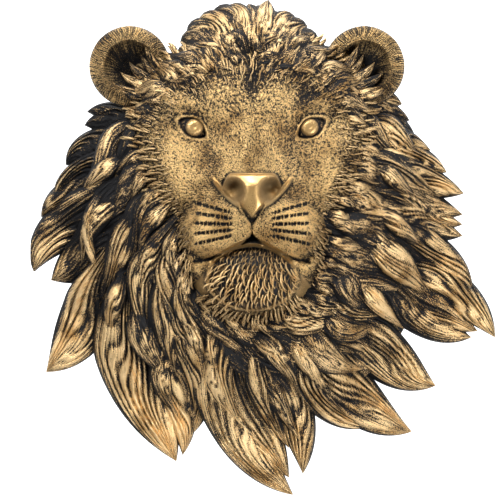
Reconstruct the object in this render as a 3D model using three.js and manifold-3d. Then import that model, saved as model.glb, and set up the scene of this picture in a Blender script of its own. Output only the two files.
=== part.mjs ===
// Lion head wall mask, cast in one piece with a flat back.
// Millimetres. +X is the viewer's right, +Z is up, and the wall is the plane Y = 0 behind the mask,
// so a point's depth, its height above the wall, is -Y. The origin is the middle of the flat back,
// on the face's centreline. Directions are in degrees clockwise from straight up, as seen from the front.
import * as THREE from "three";
import { mergeVertices } from "three/addons/utils/BufferGeometryUtils.js";
import Module from "manifold-3d";

const wasm = await Module();
wasm.setup();

// Driving dimensions of the whole mask. The carving below keeps its places as shares of them: it is drawn
// on a plan of PLAN's sizes, and every point of it is set out at the driving dimensions.
const WIDTH = 374.4;
const HEIGHT = 395;
const DEPTH = 112;
const PLAN = { width: 374.4, height: 395, depth: 112 };
const MANE_CENTRE = { x: 0, z: -12 }; // the locks spread from here
// The mound that carries the locks, and the relief of the face, whose edges lie inside the mound
const MOUND = { z: -14, halfWidth: 146, halfHeightUp: 138, halfHeightDown: 164, crown: 66, rim: 14 };
const FACE = { halfWidth: 100, top: 116, bottom: -104 };
const TIP_DEPTH = 9; // middle of an outer lock at its tip
const CUT_MARGIN = 6; // how far pieces run behind the wall before the back is cut flat
// Spacing of the relief's points in stretches from low to high, and the mound's rings
const GRID = {
  across: [[0, 24, 4], [24, 62, 7.6], [62, 84, 11]],
  upward: [[-88, -42, 7.6], [-42, -12, 5], [-12, 20, 4], [20, 65, 9], [65, 101, 12]],
  edge: 17,
  spokes: 28,
  rings: [0.35, 0.62, 0.82, 0.94, 1],
};

// The face, from its broad forms up. A form has its middle, half sizes, peak depth, the fall from its
// peak at its half sizes, the power that squares its shoulders, and its turn.
const SKULL = { x: 0, z: 46, halfWidth: 78, halfHeight: 84, peak: 82, fall: 27, power: 1.2 };
const JAW = { x: 0, z: -34, halfWidth: 60, halfHeight: 62, peak: 76, fall: 24, power: 1.2, blend: 14 };
const CHEEK = { x: 49, z: 26, halfWidth: 27, halfHeight: 32, peak: 73.5, fall: 14, blend: 18 };
const FOREHEAD = { x: 22, z: 80, halfWidth: 23, halfHeight: 22, peak: 85.5, fall: 10, turn: 20, blend: 11 };
const BROW = { x: 40, z: 69, halfWidth: 22, halfHeight: 9, peak: 78, fall: 8, turn: 18, blend: 9 };
const EYE_SOCKET = { x: 42, z: 53, halfWidth: 19, halfHeight: 13, depth: 8, turn: 22 };
const BRIDGE_HOLLOW = { x: 33, z: 32, halfWidth: 9, halfHeight: 22, depth: 2.2, turn: -8 };
const BROW_FURROW = { x: 0, z: 90, halfWidth: 6.5, halfHeight: 18, depth: 3.6 };
// The bridge runs down from its top to its bottom, and falls off above and below by its two slopes.
const BRIDGE = {
  top: 78, bottom: 14, topDepth: 85, bottomDepth: 105, topHalf: 23, bottomHalf: 26, fall: 11,
  bow: 1.15, slopeAbove: 30, slopeBelow: 12, blend: 20,
};
const MUZZLE = { x: 0, z: -14, halfWidth: 39, halfHeight: 38, peak: 94, fall: 21, power: 1.4, blend: 22 };
const LIP_PAD = {
  x: 20.5, z: -19.5, halfWidth: 22.5, halfHeight: 17.5, peak: 103.5, fall: 13, power: 1.35, turn: -14,
  blend: 8,
};
// The nose pad narrows downwards, is rounded over its top share, and turns under below its front share.
const NOSE = {
  top: 15.5, height: 27, topHalf: 22.5, bottomHalf: 5.5, depth: 112.4, fall: 6, taper: 1.3,
  topShare: 0.3, topFall: 5, frontShare: 0.4, frontFall: 12, underFall: 200, blend: 5,
};
const NOSE_WING = { x: 25, z: 8.5, halfWidth: 4.2, halfHeight: 8.5, rise: 6, turn: -42 };
const NOSTRIL = { x: 14.5, z: 5.2, halfWidth: 7.6, halfHeight: 8.2, depth: 13, turn: -24 };
const NOSTRIL_SLIT = { x: 10.2, z: 2.6, halfWidth: 3.4, halfHeight: 6.6, depth: 12, turn: -16 };
const PHILTRUM = { top: -10, bottom: -32, fade: 6, halfWidth: 1.6, depth: 3 };
// The line between the lips drops by a power of its share of the mouth's half width.
const MOUTH = { z: -27, drop: 23.5, power: 0.6, halfWidth: 44, fade: 12, depth: 6, thickness: 3.2, cut: 1.7 };
const LOWER_JAW = { x: 0, z: -50, halfWidth: 48, halfHeight: 27, peak: 85, fall: 13, power: 2, blend: 4 };
const THROAT = 70; // depth of what lies behind the lower jaw
const CHIN = { x: 0, z: -62, halfWidth: 32.5, halfHeight: 23.5, peak: 97, fall: 12, power: 1.7, blend: 3 };
const LOWER_LIP = {
  z: -35.5, drop: 16.5, halfWidth: 32.5, halfHeight: 3.2, peak: 96, fall: 8, round: 5, blend: 3,
};
const LIP_FOLD = { x: 44.5, z: -52.5, halfWidth: 5.5, halfHeight: 9.5, rise: 6, turn: -34 };
// The ball and the lids round it are balls sunk in the face.
const EYE = { x: 44.5, z: 53.8, turn: 26, ball: 11, ballDepth: 68 };
const LIDS = { halfWidth: 20, halfHeight: 13, thickness: 14, depth: 63.5 };

// Ears: bowls with a thick rim that open forwards and outwards
const EAR = {
  x: 93, z: 105, shift: -4, radius: 32, thickness: 20, depth: 34, wall: 11.5, turn: 20, tuftDepth: 46,
};

// Locks at the mask's outline, one row each: root x, root z, leaving direction, tip x, tip z,
// arriving direction, width. They run back to the wall all along.
const OUTER_LOCKS = [
  [-84, 62, 286, -133, 71, 262, 20],
  [-88, 52, 284, -135, 60, 250, 24],
  [-88, 42, 268, -150, 28, 220, 36],
  [-92, 28, 258, -160, 0, 216, 34],
  [-94, 18, 252, -170, -14, 212, 30],
  [-98, 8, 244, -176, -58, 192, 40],
  [-104, -20, 224, -162, -65, 238, 42],
  [-106, -44, 212, -166, -139, 232, 48],
  [-94, -64, 206, -61, -211, 156, 56],
  [-72, -104, 172, -56, -206, 190, 30],
  [-58, -88, 176, -47, -188, 190, 40],
  [-30, -84, 186, 33, -238, 128, 46],
  [-14, -100, 184, 30, -224, 146, 44],
  [2, -96, 158, 41, -221, 184, 38],
  [24, -106, 150, 92, -184, 110, 36],
  [36, -98, 142, 129, -187, 104, 46],
  [66, -90, 126, 148, -150, 106, 46],
  [92, -64, 118, 177, -111, 97, 34],
  [100, -58, 114, 182, -106, 112, 30],
  [112, -46, 112, 196, -111, 150, 34],
  [104, -22, 112, 178, -74, 146, 32],
  [98, -2, 106, 170, -29, 98, 28],
  [96, 6, 104, 170, -20, 96, 24],
  [96, 14, 102, 170, -12, 100, 26],
  [92, 26, 96, 171, 5, 104, 30],
  [92, 38, 92, 157, 22, 118, 28],
  [86, 50, 84, 144, 40, 102, 26],
  [80, 62, 80, 131, 53, 114, 26],
  [78, 70, 80, 127, 64, 112, 22],
  [74, 78, 78, 121, 77, 112, 24],
];
const OUTER = { thickness: 10, roll: 10, fall: 4 };
const OUTER_SECTIONS = { wideFrom: 30, wide: 5, narrow: 4 };

// Locks that lie over the mane and catch the light, in rows like those above with the lift of
// the middle of each above the mound as the last value
const TOP_LOCKS = [
  [-108, 20, 218, -119, -68, 158, 14, 12],
  [-86, -74, 196, -62, -148, 150, 26, 10],
  [-62, -78, 162, -46, -172, 192, 30, 6],
  [-24, -90, 192, -9, -181, 150, 32, 6],
  [2, -94, 172, 30, -200, 150, 30, 5],
  [0, -92, 150, 36, -156, 168, 24, 10],
  [34, -90, 145, 88, -136, 96, 32, 9],
  [50, -84, 135, 101, -99, 72, 28, 10],
  [68, -46, 172, 98, -84, 92, 26, 11],
  [84, -28, 122, 144, -78, 128, 30, 12],
];
const TOP = { thickness: 9, roll: 14, sections: 6 };

// Rings of locks over the mound, from the outer one in
const RINGS = [
  { count: 16, gap: 53, root: 1.12, reach: 146, spread: 9, width: 35, lift: 3, thickness: 9 },
  { count: 17, gap: 46, root: 0.98, reach: 118, spread: 8, width: 29, lift: 6, thickness: 8 },
];
// How the locks of a ring differ from one another: in direction, place, width and roll
const RING_VARIATION = { leave: 14, arrive: 16, place: 3, width: 0.18, roll: 16 };
const RING_SECTIONS = 4;
// The mane falls at its sides, drifts to the right below, and lies flat by the ears.
const SWEEP = { side: 20, drift: 14, ears: 16 };
// How far the edge of the short fur lies from the mane's centre
const FACE_REACH = { mean: 74, up: 15.5, round: 15.2, temple: 24 };

// Locks of the crest at its outline, in rows like those above without a lift. They part in the middle.
const CREST_LOCKS = [
  [-32, 98, 318, -60, 114, 256, 22],
  [-26, 102, 326, -57, 123, 248, 26],
  [-20, 106, 332, -52, 131, 244, 28],
  [-14, 110, 336, -43, 138, 250, 28],
  [-9, 114, 340, -32, 145, 258, 28],
  [-5, 116, 346, -21, 150, 280, 24],
  [-2, 118, 350, -13, 150, 306, 20],
  [1, 116, 356, -3, 154, 338, 22],
  [5, 112, 2, 5, 153, 10, 22],
  [8, 112, 8, 13, 157, 16, 20],
  [12, 108, 16, 23, 147, 52, 24],
  [16, 106, 22, 34, 144, 78, 26],
  [20, 104, 28, 44, 136, 92, 28],
  [26, 102, 36, 53, 126, 98, 26],
  [32, 98, 44, 60, 116, 104, 22],
];
const CREST = { lift: 10, sink: 3, tipDepth: 40, thickness: 10, roll: 14, fall: 6, sections: 3 };
// Rows of tufts in front of them, that part over the forehead
const FORELOCKS = [
  { count: 6, spread: 25, root: 106, reach: 138, width: 26, lift: 12, thickness: 9, fan: 2.2, wave: 12 },
  { count: 8, spread: 44, root: 102, reach: 124, width: 22, lift: 9, thickness: 7, fan: 1.9, wave: 14 },
];
const EAR_TUFTS = [
  { root: [70, 86], leave: 70, tip: [97, 108], arrive: 30, width: 15 },
  { root: [76, 80], leave: 80, tip: [110, 92], arrive: 40, width: 15 },
];

const FULL_TURN = 360;
const DEG = (2 * Math.PI) / FULL_TURN;
const { abs, cos, exp, hypot, max, min, sign, sin, sqrt } = Math;

const lerp = (a, b, t) => a + (b - a) * t;
const step = (a, b, v) => {
  const t = min(max((v - a) / (b - a), 0), 1);
  return t * t * (3 - 2 * t);
};
const smoothMax = (a, b, k) => {
  const h = max(k - abs(a - b), 0) / k;
  return max(a, b) + (h * h * k) / 4;
};
const heading = (degrees) => [sin(degrees * DEG), cos(degrees * DEG)];

// How far out a point lies over the mound: one at the mound's outline.
function moundShare(x, z) {
  const halfHeight = z > MOUND.z ? MOUND.halfHeightUp : MOUND.halfHeightDown;
  return (x / MOUND.halfWidth) ** 2 + ((z - MOUND.z) / halfHeight) ** 2;
}

const moundDepth = (x, z) => MOUND.crown - (MOUND.crown - MOUND.rim) * moundShare(x, z) ** 0.9;

// A point in the turned frame of a form, in shares of its half sizes.
function local(x, z, f) {
  const a = (f.turn || 0) * DEG;
  const dx = x - f.x;
  const dz = z - f.z;
  return [(dx * cos(a) + dz * sin(a)) / f.halfWidth, (dz * cos(a) - dx * sin(a)) / f.halfHeight];
}

// A rounded form: its peak, less its fall at its half sizes.
function form(x, z, f) {
  const [u, v] = local(x, z, f);
  return f.peak - f.fall * (u * u + v * v) ** (f.power || 1);
}

// One at the middle of a dent or swelling, and fading to nothing at about twice its half sizes.
function swell(x, z, f) {
  const [u, v] = local(x, z, f);
  return exp(-(u * u + v * v));
}

const share = (v) => min(max(v, 0), 1);

// The height of the line between the lips.
const mouthLine = (ax) => MOUTH.z - MOUTH.drop * (ax / MOUTH.halfWidth) ** MOUTH.power;

function noseBridge(ax, z) {
  const t = (BRIDGE.top - z) / (BRIDGE.top - BRIDGE.bottom);
  const half = lerp(BRIDGE.topHalf, BRIDGE.bottomHalf, share(t));
  const beyond = BRIDGE.slopeAbove * max(-t, 0) + BRIDGE.slopeBelow * max(t - 1, 0);
  const crest = lerp(BRIDGE.topDepth, BRIDGE.bottomDepth, share(t) ** BRIDGE.bow);
  return crest - BRIDGE.fall * (ax / half) ** 2 - beyond;
}

function nosePad(ax, z) {
  const t = (NOSE.top - z) / NOSE.height;
  const half = lerp(NOSE.topHalf, NOSE.bottomHalf, share(t) ** NOSE.taper);
  const roundTop = NOSE.topFall * (max(NOSE.topShare - t, 0) / NOSE.topShare) ** 2;
  const under = NOSE.frontFall * max(t - NOSE.frontShare, 0) ** 1.5 + NOSE.underFall * max(t - 1, 0);
  return NOSE.depth - NOSE.fall * (ax / half) ** 4 - roundTop - under;
}

// The brows, cheeks and skull, without the muzzle.
function skullDepth(ax, z) {
  let d = form(ax, z, SKULL);
  for (const f of [JAW, CHEEK, FOREHEAD, BROW]) d = smoothMax(d, form(ax, z, f), f.blend);
  d -= EYE_SOCKET.depth * swell(ax, z, EYE_SOCKET);
  return d - BRIDGE_HOLLOW.depth * swell(ax, z, BRIDGE_HOLLOW);
}

// The bridge, nose and upper lip.
function upperDepth(ax, z) {
  let d = smoothMax(skullDepth(ax, z), noseBridge(ax, z), BRIDGE.blend);
  for (const f of [MUZZLE, LIP_PAD]) d = smoothMax(d, form(ax, z, f), f.blend);
  d = smoothMax(d, nosePad(ax, z), NOSE.blend);
  d += NOSE_WING.rise * swell(ax, z, NOSE_WING);
  d -= NOSTRIL.depth * swell(ax, z, NOSTRIL) + NOSTRIL_SLIT.depth * swell(ax, z, NOSTRIL_SLIT);
  const { top, bottom, fade } = PHILTRUM;
  const along = step(top, top - fade / 2, z) * step(bottom, bottom + fade, z);
  return d - PHILTRUM.depth * exp(-((ax / PHILTRUM.halfWidth) ** 2)) * along;
}

// The lower jaw, its lip and the chin.
function lowerDepth(ax, z) {
  let d = min(skullDepth(ax, z), THROAT);
  for (const f of [LOWER_JAW, CHIN]) d = smoothMax(d, form(ax, z, f), f.blend);
  const out = (ax / LOWER_LIP.halfWidth) ** 2;
  const off = (z - LOWER_LIP.z + LOWER_LIP.drop * out) / LOWER_LIP.halfHeight;
  const lip = LOWER_LIP.peak - LOWER_LIP.fall * out - LOWER_LIP.round * off * off;
  if (out < 1) d = smoothMax(d, lip, LOWER_LIP.blend);
  return d + LIP_FOLD.rise * swell(ax, z, LIP_FOLD);
}

// Depth of the head without its mane.
function faceDepth(x, z) {
  const ax = abs(x);
  const upper = upperDepth(ax, z);
  const lower = lowerDepth(ax, z);
  const lip = mouthLine(ax);
  let d = lerp(upper, lower, step(lip + MOUTH.cut, lip - MOUTH.cut, z));
  const atCorner = step(MOUTH.halfWidth - MOUTH.fade / 2, MOUTH.halfWidth, ax);
  d = lerp(d, smoothMax(upper, lower, LOWER_JAW.blend), atCorner);
  const inMouth = step(MOUTH.halfWidth, MOUTH.halfWidth - MOUTH.fade, ax);
  d -= MOUTH.depth * exp(-(((z - lip) / MOUTH.thickness) ** 2)) * inMouth;
  return d - BROW_FURROW.depth * swell(x, z, BROW_FURROW);
}

const headDepth = (x, z) => max(moundDepth(x, z), faceDepth(x, z));

// Grid lines from low to high, close together inside the fine stretches.
function gridLines(low, high, fineStretches, coarse) {
  const lines = [low];
  while (lines.at(-1) < high) {
    const at = lines.at(-1);
    const inside = fineStretches.filter(([a, b]) => at >= a && at < b).map((s) => s[2]);
    lines.push(at + min(coarse, ...inside));
  }
  lines[lines.length - 1] = high;
  return lines;
}

// A solid of points on the plan, set out at the driving dimensions.
function solidFrom(positions, triangles) {
  const geometry = new THREE.BufferGeometry();
  geometry.setAttribute("position", new THREE.Float32BufferAttribute(positions, 3));
  geometry.scale(WIDTH / PLAN.width, DEPTH / PLAN.depth, HEIGHT / PLAN.height);
  geometry.setIndex(triangles);
  const merged = mergeVertices(geometry, 1e-4);
  return new wasm.Manifold(
    new wasm.Mesh({
      numProp: 3,
      vertProperties: merged.attributes.position.array,
      triVerts: new Uint32Array(merged.index.array),
    }),
  );
}

// A closed solid of a relief over a grid of x and z lines, with its back behind the wall.
function reliefSolid(xs, zs, depthAt) {
  const positions = [];
  for (const z of zs) for (const x of xs) positions.push(x, -max(depthAt(x, z), -CUT_MARGIN), z);
  const nx = xs.length;
  const nz = zs.length;
  const triangles = [];
  for (let j = 0; j + 1 < nz; j++) {
    for (let i = 0; i + 1 < nx; i++) {
      const a = j * nx + i;
      if ((i < nx / 2) === (j < nz / 2)) triangles.push(a, a + 1, a + nx, a + 1, a + nx + 1, a + nx);
      else triangles.push(a, a + 1, a + nx + 1, a, a + nx + 1, a + nx);
    }
  }
  const rim = [];
  for (let i = 0; i + 1 < nx; i++) rim.push(i);
  for (let j = 0; j + 1 < nz; j++) rim.push(j * nx + nx - 1);
  for (let i = nx - 1; i > 0; i--) rim.push((nz - 1) * nx + i);
  for (let j = nz - 1; j > 0; j--) rim.push(j * nx);
  return solidFrom(...closedBack(positions, triangles, rim));
}

// Adds the sides and the back of a front surface, whose rim runs anticlockwise seen from the front.
function closedBack(positions, triangles, rim) {
  const back = 2 * CUT_MARGIN;
  const first = positions.length / 3;
  for (const r of rim) positions.push(positions[3 * r], back, positions[3 * r + 2]);
  const centre = positions.length / 3;
  positions.push(0, back, MOUND.z);
  rim.forEach((r, k) => {
    const next = (k + 1) % rim.length;
    triangles.push(r, first + k, first + next, r, first + next, rim[next]);
    triangles.push(first + k, centre, first + next);
  });
  return [positions, triangles];
}

function faceSolid() {
  const half = gridLines(0, FACE.halfWidth, GRID.across, GRID.edge);
  const xs = [...half.slice(1).reverse().map((v) => -v), ...half];
  const zs = gridLines(FACE.bottom, FACE.top, GRID.upward, GRID.edge);
  return reliefSolid(xs, zs, faceDepth);
}

// The mound that carries the locks, as rings round its middle.
function moundSolid() {
  const positions = [0, -moundDepth(0, MOUND.z), MOUND.z];
  const triangles = [];
  const { spokes, rings } = GRID;
  rings.forEach((reach, ring) => {
    for (let k = 0; k < spokes; k++) {
      const a = (2 * Math.PI * k) / spokes;
      const x = reach * MOUND.halfWidth * cos(a);
      const z = MOUND.z + reach * (sin(a) > 0 ? MOUND.halfHeightUp : MOUND.halfHeightDown) * sin(a);
      positions.push(x, -moundDepth(x, z), z);
      const here = 1 + ring * spokes + k;
      const next = 1 + ring * spokes + ((k + 1) % spokes);
      if (ring === 0) triangles.push(0, here, next);
      else triangles.push(here - spokes, here, next, here - spokes, next, next - spokes);
    }
  });
  const rim = Array.from({ length: spokes }, (_, k) => 1 + (rings.length - 1) * spokes + k);
  return solidFrom(...closedBack(positions, triangles, rim));
}

// A lock's half width along its length: narrow at the root, full in its belly, and a point at the tip.
const LOCK = {
  rootShare: 0.55, belly: 0.4, leave: 0.38, arrive: 0.34, fall: 3, crown: 0.6, under: 1.6, foot: 0.96,
};
const lockTaper = (t, fall) => lerp(LOCK.rootShare, 1, step(0, LOCK.belly, t)) * (1 - t ** fall);

// Points across a lock from side to side, in shares of its half width and its thickness
const CROWN = [[-1, 0], [-0.45, 0.9], [0.45, 0.9], [1, 0]];
const RIDGE = [[-1, 0], [0.15, 1], [1, 0]];

// A lock of hair: a crowned, tapered strip along a curve over the mound. Where it is grounded it is
// solid back to the wall, otherwise it is a closed strip that lies on what is under it.
function lockSolid({
  root, leave, tip, arrive, width, thickness, depthAt, sections, roll = 0, grounded = false, outline = CROWN,
  fall = LOCK.fall,
}) {
  const length = hypot(tip[0] - root[0], tip[1] - root[1]);
  const [lx, lz] = heading(leave);
  const [ax, az] = heading(arrive);
  const curve = new THREE.CubicBezierCurve(
    new THREE.Vector2(...root),
    new THREE.Vector2(root[0] + lx * length * LOCK.leave, root[1] + lz * length * LOCK.leave),
    new THREE.Vector2(tip[0] - ax * length * LOCK.arrive, tip[1] - az * length * LOCK.arrive),
    new THREE.Vector2(...tip),
  );
  const positions = [];
  for (let i = 0; i < sections; i++) {
    const t = i / sections;
    const p = curve.getPoint(t);
    const tangent = curve.getTangent(t);
    const half = (width / 2) * lockTaper(t, fall);
    const high = thickness * lockTaper(t, fall) ** LOCK.crown;
    const depth = depthAt(p.x, p.y, t);
    const tilt = roll * DEG * (1 - LOCK.crown * t);
    for (const [across, up] of outline) {
      const side = across * half;
      const rise = up * high + side * sin(tilt);
      positions.push(p.x + tangent.y * side, -(depth + rise), p.y - tangent.x * side);
    }
    const low = grounded ? -(depth + CUT_MARGIN) : -LOCK.under * high;
    for (const across of grounded ? [LOCK.foot, -LOCK.foot] : [0]) {
      const side = across * half;
      const rise = low + (grounded ? 0 : side * sin(tilt));
      positions.push(p.x + tangent.y * side, -(depth + rise), p.y - tangent.x * side);
    }
  }
  const n = outline.length + (grounded ? 2 : 1);
  const end = curve.getPoint(1);
  const tipDepth = depthAt(end.x, end.y, 1);
  const apex = positions.length / 3;
  positions.push(end.x, -tipDepth - 0.4, end.y);
  if (grounded) positions.push(end.x, CUT_MARGIN, end.y);
  const foot = grounded ? apex + 1 : apex;
  const triangles = [];
  for (let i = 0; i + 1 < sections; i++) {
    for (let k = 0; k < n; k++) {
      const a = i * n + k;
      const b = i * n + ((k + 1) % n);
      triangles.push(a, b, b + n, a, b + n, a + n);
    }
  }
  for (let k = 1; k + 1 < n; k++) triangles.push(0, k + 1, k);
  const last = (sections - 1) * n;
  for (let k = 0; k < n; k++) {
    const a = last + k;
    const b = last + ((k + 1) % n);
    const low = grounded && k >= outline.length - 1;
    if (low && k === outline.length - 1) triangles.push(a, b, foot, a, foot, apex);
    else if (low && k === n - 1) triangles.push(a, b, apex, a, apex, foot);
    else triangles.push(a, b, low ? foot : apex);
  }
  return solidFrom(positions, triangles);
}

const onMound = (lift) => (x, z, t) =>
  max(moundDepth(x, z), TIP_DEPTH + 4) + lift * (0.25 + 0.75 * sin(Math.PI * min(t + 0.15, 1)));
const toWall = (x, z, t) => lerp(max(moundDepth(x, z) - 2, TIP_DEPTH), TIP_DEPTH, step(0.3, 1, t));

function outerLocks() {
  return OUTER_LOCKS.map(([rx, rz, leave, tx, tz, arrive, width], i) =>
    lockSolid({
      root: [rx, rz], leave, tip: [tx, tz], arrive, width, depthAt: toWall, grounded: true,
      ...OUTER, roll: i % 2 ? OUTER.roll : -OUTER.roll,
      sections: width < OUTER_SECTIONS.wideFrom ? OUTER_SECTIONS.narrow : OUTER_SECTIONS.wide,
    }),
  );
}

function topLocks() {
  return TOP_LOCKS.map(([rx, rz, leave, tx, tz, arrive, width, lift]) =>
    lockSolid({
      root: [rx, rz], leave, tip: [tx, tz], arrive, width, depthAt: onMound(lift),
      ...TOP, roll: TOP.roll * sign(tx),
    }),
  );
}

// How far round a lock's tip lies from its root.
function sweepAt(degrees) {
  const a = degrees * DEG;
  return SWEEP.side * sin(a) - SWEEP.drift * (1 - cos(a)) + SWEEP.ears * sin(2 * a) * max(cos(a), 0);
}

// The edge of the short fur, from the mane's centre.
function faceReach(degrees) {
  const a = degrees * DEG;
  const temple = FACE_REACH.temple * sin(2 * a) ** 2 * max(cos(a), 0);
  return FACE_REACH.mean + FACE_REACH.up * cos(a) + FACE_REACH.round * cos(2 * a) + temple;
}

// A point at a direction and reach from the mane's centre.
function around(degrees, reach) {
  const [x, z] = heading(degrees);
  return [MANE_CENTRE.x + x * reach, MANE_CENTRE.z + z * reach];
}

function ringLocks({ count, gap, root, reach, spread, width, lift, thickness }, ring) {
  const vary = RING_VARIATION;
  return Array.from({ length: count }, (_, i) => {
    const at = lerp(gap, FULL_TURN - gap, i / (count - 1));
    const wave = sin(i * 2.4 + ring * 1.7);
    return lockSolid({
      root: around(at, faceReach(at) * root),
      leave: at + sweepAt(at) * 0.6 - vary.leave * wave,
      tip: around(at + sweepAt(at) + vary.place * wave, reach + spread * wave),
      arrive: at + sweepAt(at) * 1.6 + vary.arrive * wave,
      width: width * (1 + vary.width * sin(i * 1.9)),
      roll: vary.roll * sin(i * 3.1),
      depthAt: onMound(lift), thickness, sections: RING_SECTIONS, outline: RIDGE,
    });
  });
}

function crestLocks() {
  const rise = (x, z, t) =>
    lerp(headDepth(x, z) - CREST.sink, CREST.tipDepth, step(0, 1, t)) + CREST.lift * sin(Math.PI * t);
  return CREST_LOCKS.map(([rx, rz, leave, tx, tz, arrive, width], i) =>
    lockSolid({
      root: [rx, rz], leave, tip: [tx, tz], arrive, width, thickness: CREST.thickness, depthAt: rise,
      roll: CREST.roll * sin(i * 2.7), sections: CREST.sections, outline: RIDGE, fall: CREST.fall,
    }),
  );
}

function forelocks({ count, spread, root, reach, width, lift, thickness, fan, wave }, row) {
  return Array.from({ length: count }, (_, i) => {
    const at = lerp(-spread, spread, i / (count - 1));
    const turn = wave * sin(i * 3.3 + row);
    return lockSolid({
      root: around(at * 0.9, root),
      leave: at * 1.3 + turn,
      tip: around(at * 1.2 + 3 * sin(i * 2.6 + row), reach + 5 * sin(i * 1.7)),
      arrive: at * fan - turn,
      depthAt: (x, z, t) =>
        max(headDepth(x, z), CREST.tipDepth) - CREST.sink + lift * sin(Math.PI * min(t * 0.85 + 0.1, 1)),
      width, thickness, roll: 12 * sin(i * 2.1 + row), sections: RING_SECTIONS, outline: RIDGE,
    });
  });
}

function eyeSolids(side) {
  const { x, z, turn, ball, ballDepth } = EYE;
  const { halfWidth, halfHeight, thickness, depth } = LIDS;
  return [
    ballSolid([ball, ball, ball], [side * x, -ballDepth, z], 0, 8, 5),
    ballSolid([halfWidth, thickness, halfHeight], [side * x, -depth, z], -side * turn, 10, 6),
  ];
}

function ballSolid(radii, centre, turn, segments, rows) {
  const geometry = new THREE.SphereGeometry(1, segments, rows);
  geometry.deleteAttribute("normal");
  geometry.deleteAttribute("uv");
  geometry.scale(...radii);
  geometry.rotateY(turn * DEG);
  geometry.translate(...centre);
  const merged = mergeVertices(geometry, 1e-4);
  return solidFrom(Array.from(merged.attributes.position.array), Array.from(merged.index.array));
}

function earSolid(side) {
  const { x, z, shift, radius, thickness, depth, wall } = EAR;
  const turn = side * EAR.turn;
  const inner = radius - wall;
  const shell = ballSolid([radius, thickness, radius], [side * x + shift, -depth, z], turn, 13, 7);
  const bowl = [side * (x - 3) + shift, -depth - thickness * 0.6, z - 3];
  return shell.subtract(ballSolid([inner, thickness, inner], bowl, turn, 12, 6));
}

function earTufts(side) {
  return EAR_TUFTS.map(({ root, leave, tip, arrive, width }) =>
    lockSolid({
      root: [side * root[0], root[1]], leave: side * leave,
      tip: [side * tip[0], tip[1]], arrive: side * arrive,
      width, thickness: 6, depthAt: (x, z, t) => EAR.tuftDepth - 6 * t, sections: 4, outline: RIDGE,
    }),
  );
}

// The slab in front of the wall that everything is cut to.
function frontSlab() {
  const size = 4 * MOUND.halfHeightDown;
  const geometry = new THREE.BoxGeometry(size, size, size);
  geometry.deleteAttribute("normal");
  geometry.deleteAttribute("uv");
  geometry.translate(0, -size / 2, 0);
  const merged = mergeVertices(geometry, 1e-4);
  return solidFrom(Array.from(merged.attributes.position.array), Array.from(merged.index.array));
}

// The outer skin alone: air pockets closed in between the locks are filled, as a mould would fill them.
function withoutPockets(solid) {
  return solid.decompose().reduce((most, body) => (body.volume() > most.volume() ? body : most));
}

function maskGeometry() {
  const pieces = [
    ...outerLocks(), ...RINGS.flatMap(ringLocks), ...topLocks(),
    ...crestLocks(), ...FORELOCKS.flatMap(forelocks),
    ...[-1, 1].flatMap((side) => [...eyeSolids(side), earSolid(side), ...earTufts(side)]),
    moundSolid(),
  ];
  const whole = pieces.reduce((sum, piece) => sum.add(piece), faceSolid());
  const cut = withoutPockets(whole.intersect(frontSlab())).getMesh();
  const geometry = new THREE.BufferGeometry();
  geometry.setAttribute("position", new THREE.Float32BufferAttribute(cut.vertProperties, 3));
  geometry.setIndex(Array.from(cut.triVerts));
  return geometry;
}

const antiqueGold = new THREE.MeshStandardMaterial({ color: 0x8a6a34, roughness: 0.45, metalness: 0.75 });
const mask = new THREE.Mesh(maskGeometry(), antiqueGold);
mask.name = "lion_mask";

const group = new THREE.Group();
group.add(mask);
export default group;
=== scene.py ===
# Lion head wall mask, cast in one piece and finished in antique gold over black paint.
# Carving sizes are millimetres in the part's frame: +X is the viewer's right, +Z is up, the wall is Y = 0,
# and a depth is the height above the wall, so it is -Y. Directions are degrees clockwise from straight up.
from functools import lru_cache, partial
from math import cos, pi, radians, sin
from typing import NamedTuple

import bpy
import numpy as np
from mathutils import Matrix, Vector


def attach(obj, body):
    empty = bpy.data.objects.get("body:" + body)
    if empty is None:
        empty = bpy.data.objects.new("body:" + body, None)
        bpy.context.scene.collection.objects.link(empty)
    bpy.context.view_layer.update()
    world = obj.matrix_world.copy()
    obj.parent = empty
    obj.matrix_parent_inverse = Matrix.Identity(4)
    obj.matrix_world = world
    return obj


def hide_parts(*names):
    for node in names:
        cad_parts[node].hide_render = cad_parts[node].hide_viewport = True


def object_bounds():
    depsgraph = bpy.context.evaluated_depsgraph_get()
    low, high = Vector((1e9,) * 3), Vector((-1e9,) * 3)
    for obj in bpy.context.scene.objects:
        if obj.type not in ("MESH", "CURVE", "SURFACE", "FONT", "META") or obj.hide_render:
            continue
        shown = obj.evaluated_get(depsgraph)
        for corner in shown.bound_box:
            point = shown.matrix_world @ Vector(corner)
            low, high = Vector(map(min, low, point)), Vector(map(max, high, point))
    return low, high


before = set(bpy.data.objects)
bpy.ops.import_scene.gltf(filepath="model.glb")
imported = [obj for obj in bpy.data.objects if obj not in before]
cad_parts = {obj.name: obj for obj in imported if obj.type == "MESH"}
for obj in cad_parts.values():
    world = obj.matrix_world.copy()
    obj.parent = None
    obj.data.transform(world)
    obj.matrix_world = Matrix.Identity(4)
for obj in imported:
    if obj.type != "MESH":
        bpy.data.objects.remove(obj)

bl_info = {
    "name": "Lion Head Wall Mask",
    "version": (1, 0, 0),
    "blender": (4, 5, 0),
    "location": "View3D > Sidebar > Lion Mask",
    "description": "Builds a cast lion head wall mask in antique gold, and a studio for it",
    "category": "Add Mesh",
}

CAD_BOX = [list(map(float, corner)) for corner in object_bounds()]
MM = 0.001
NODE = "lion_mask"
PAINT = "brushed_gold_over_black"


# Shapes shared by all the carving

def lerp(a, b, t):
    return a + (b - a) * t


def step(a, b, v):
    t = np.clip((v - a) / (b - a), 0, 1)
    return t * t * (3 - 2 * t)


def smooth_max(a, b, k):
    h = np.maximum(k - np.abs(a - b), 0) / k
    return np.maximum(a, b) + h * h * k / 4


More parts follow.
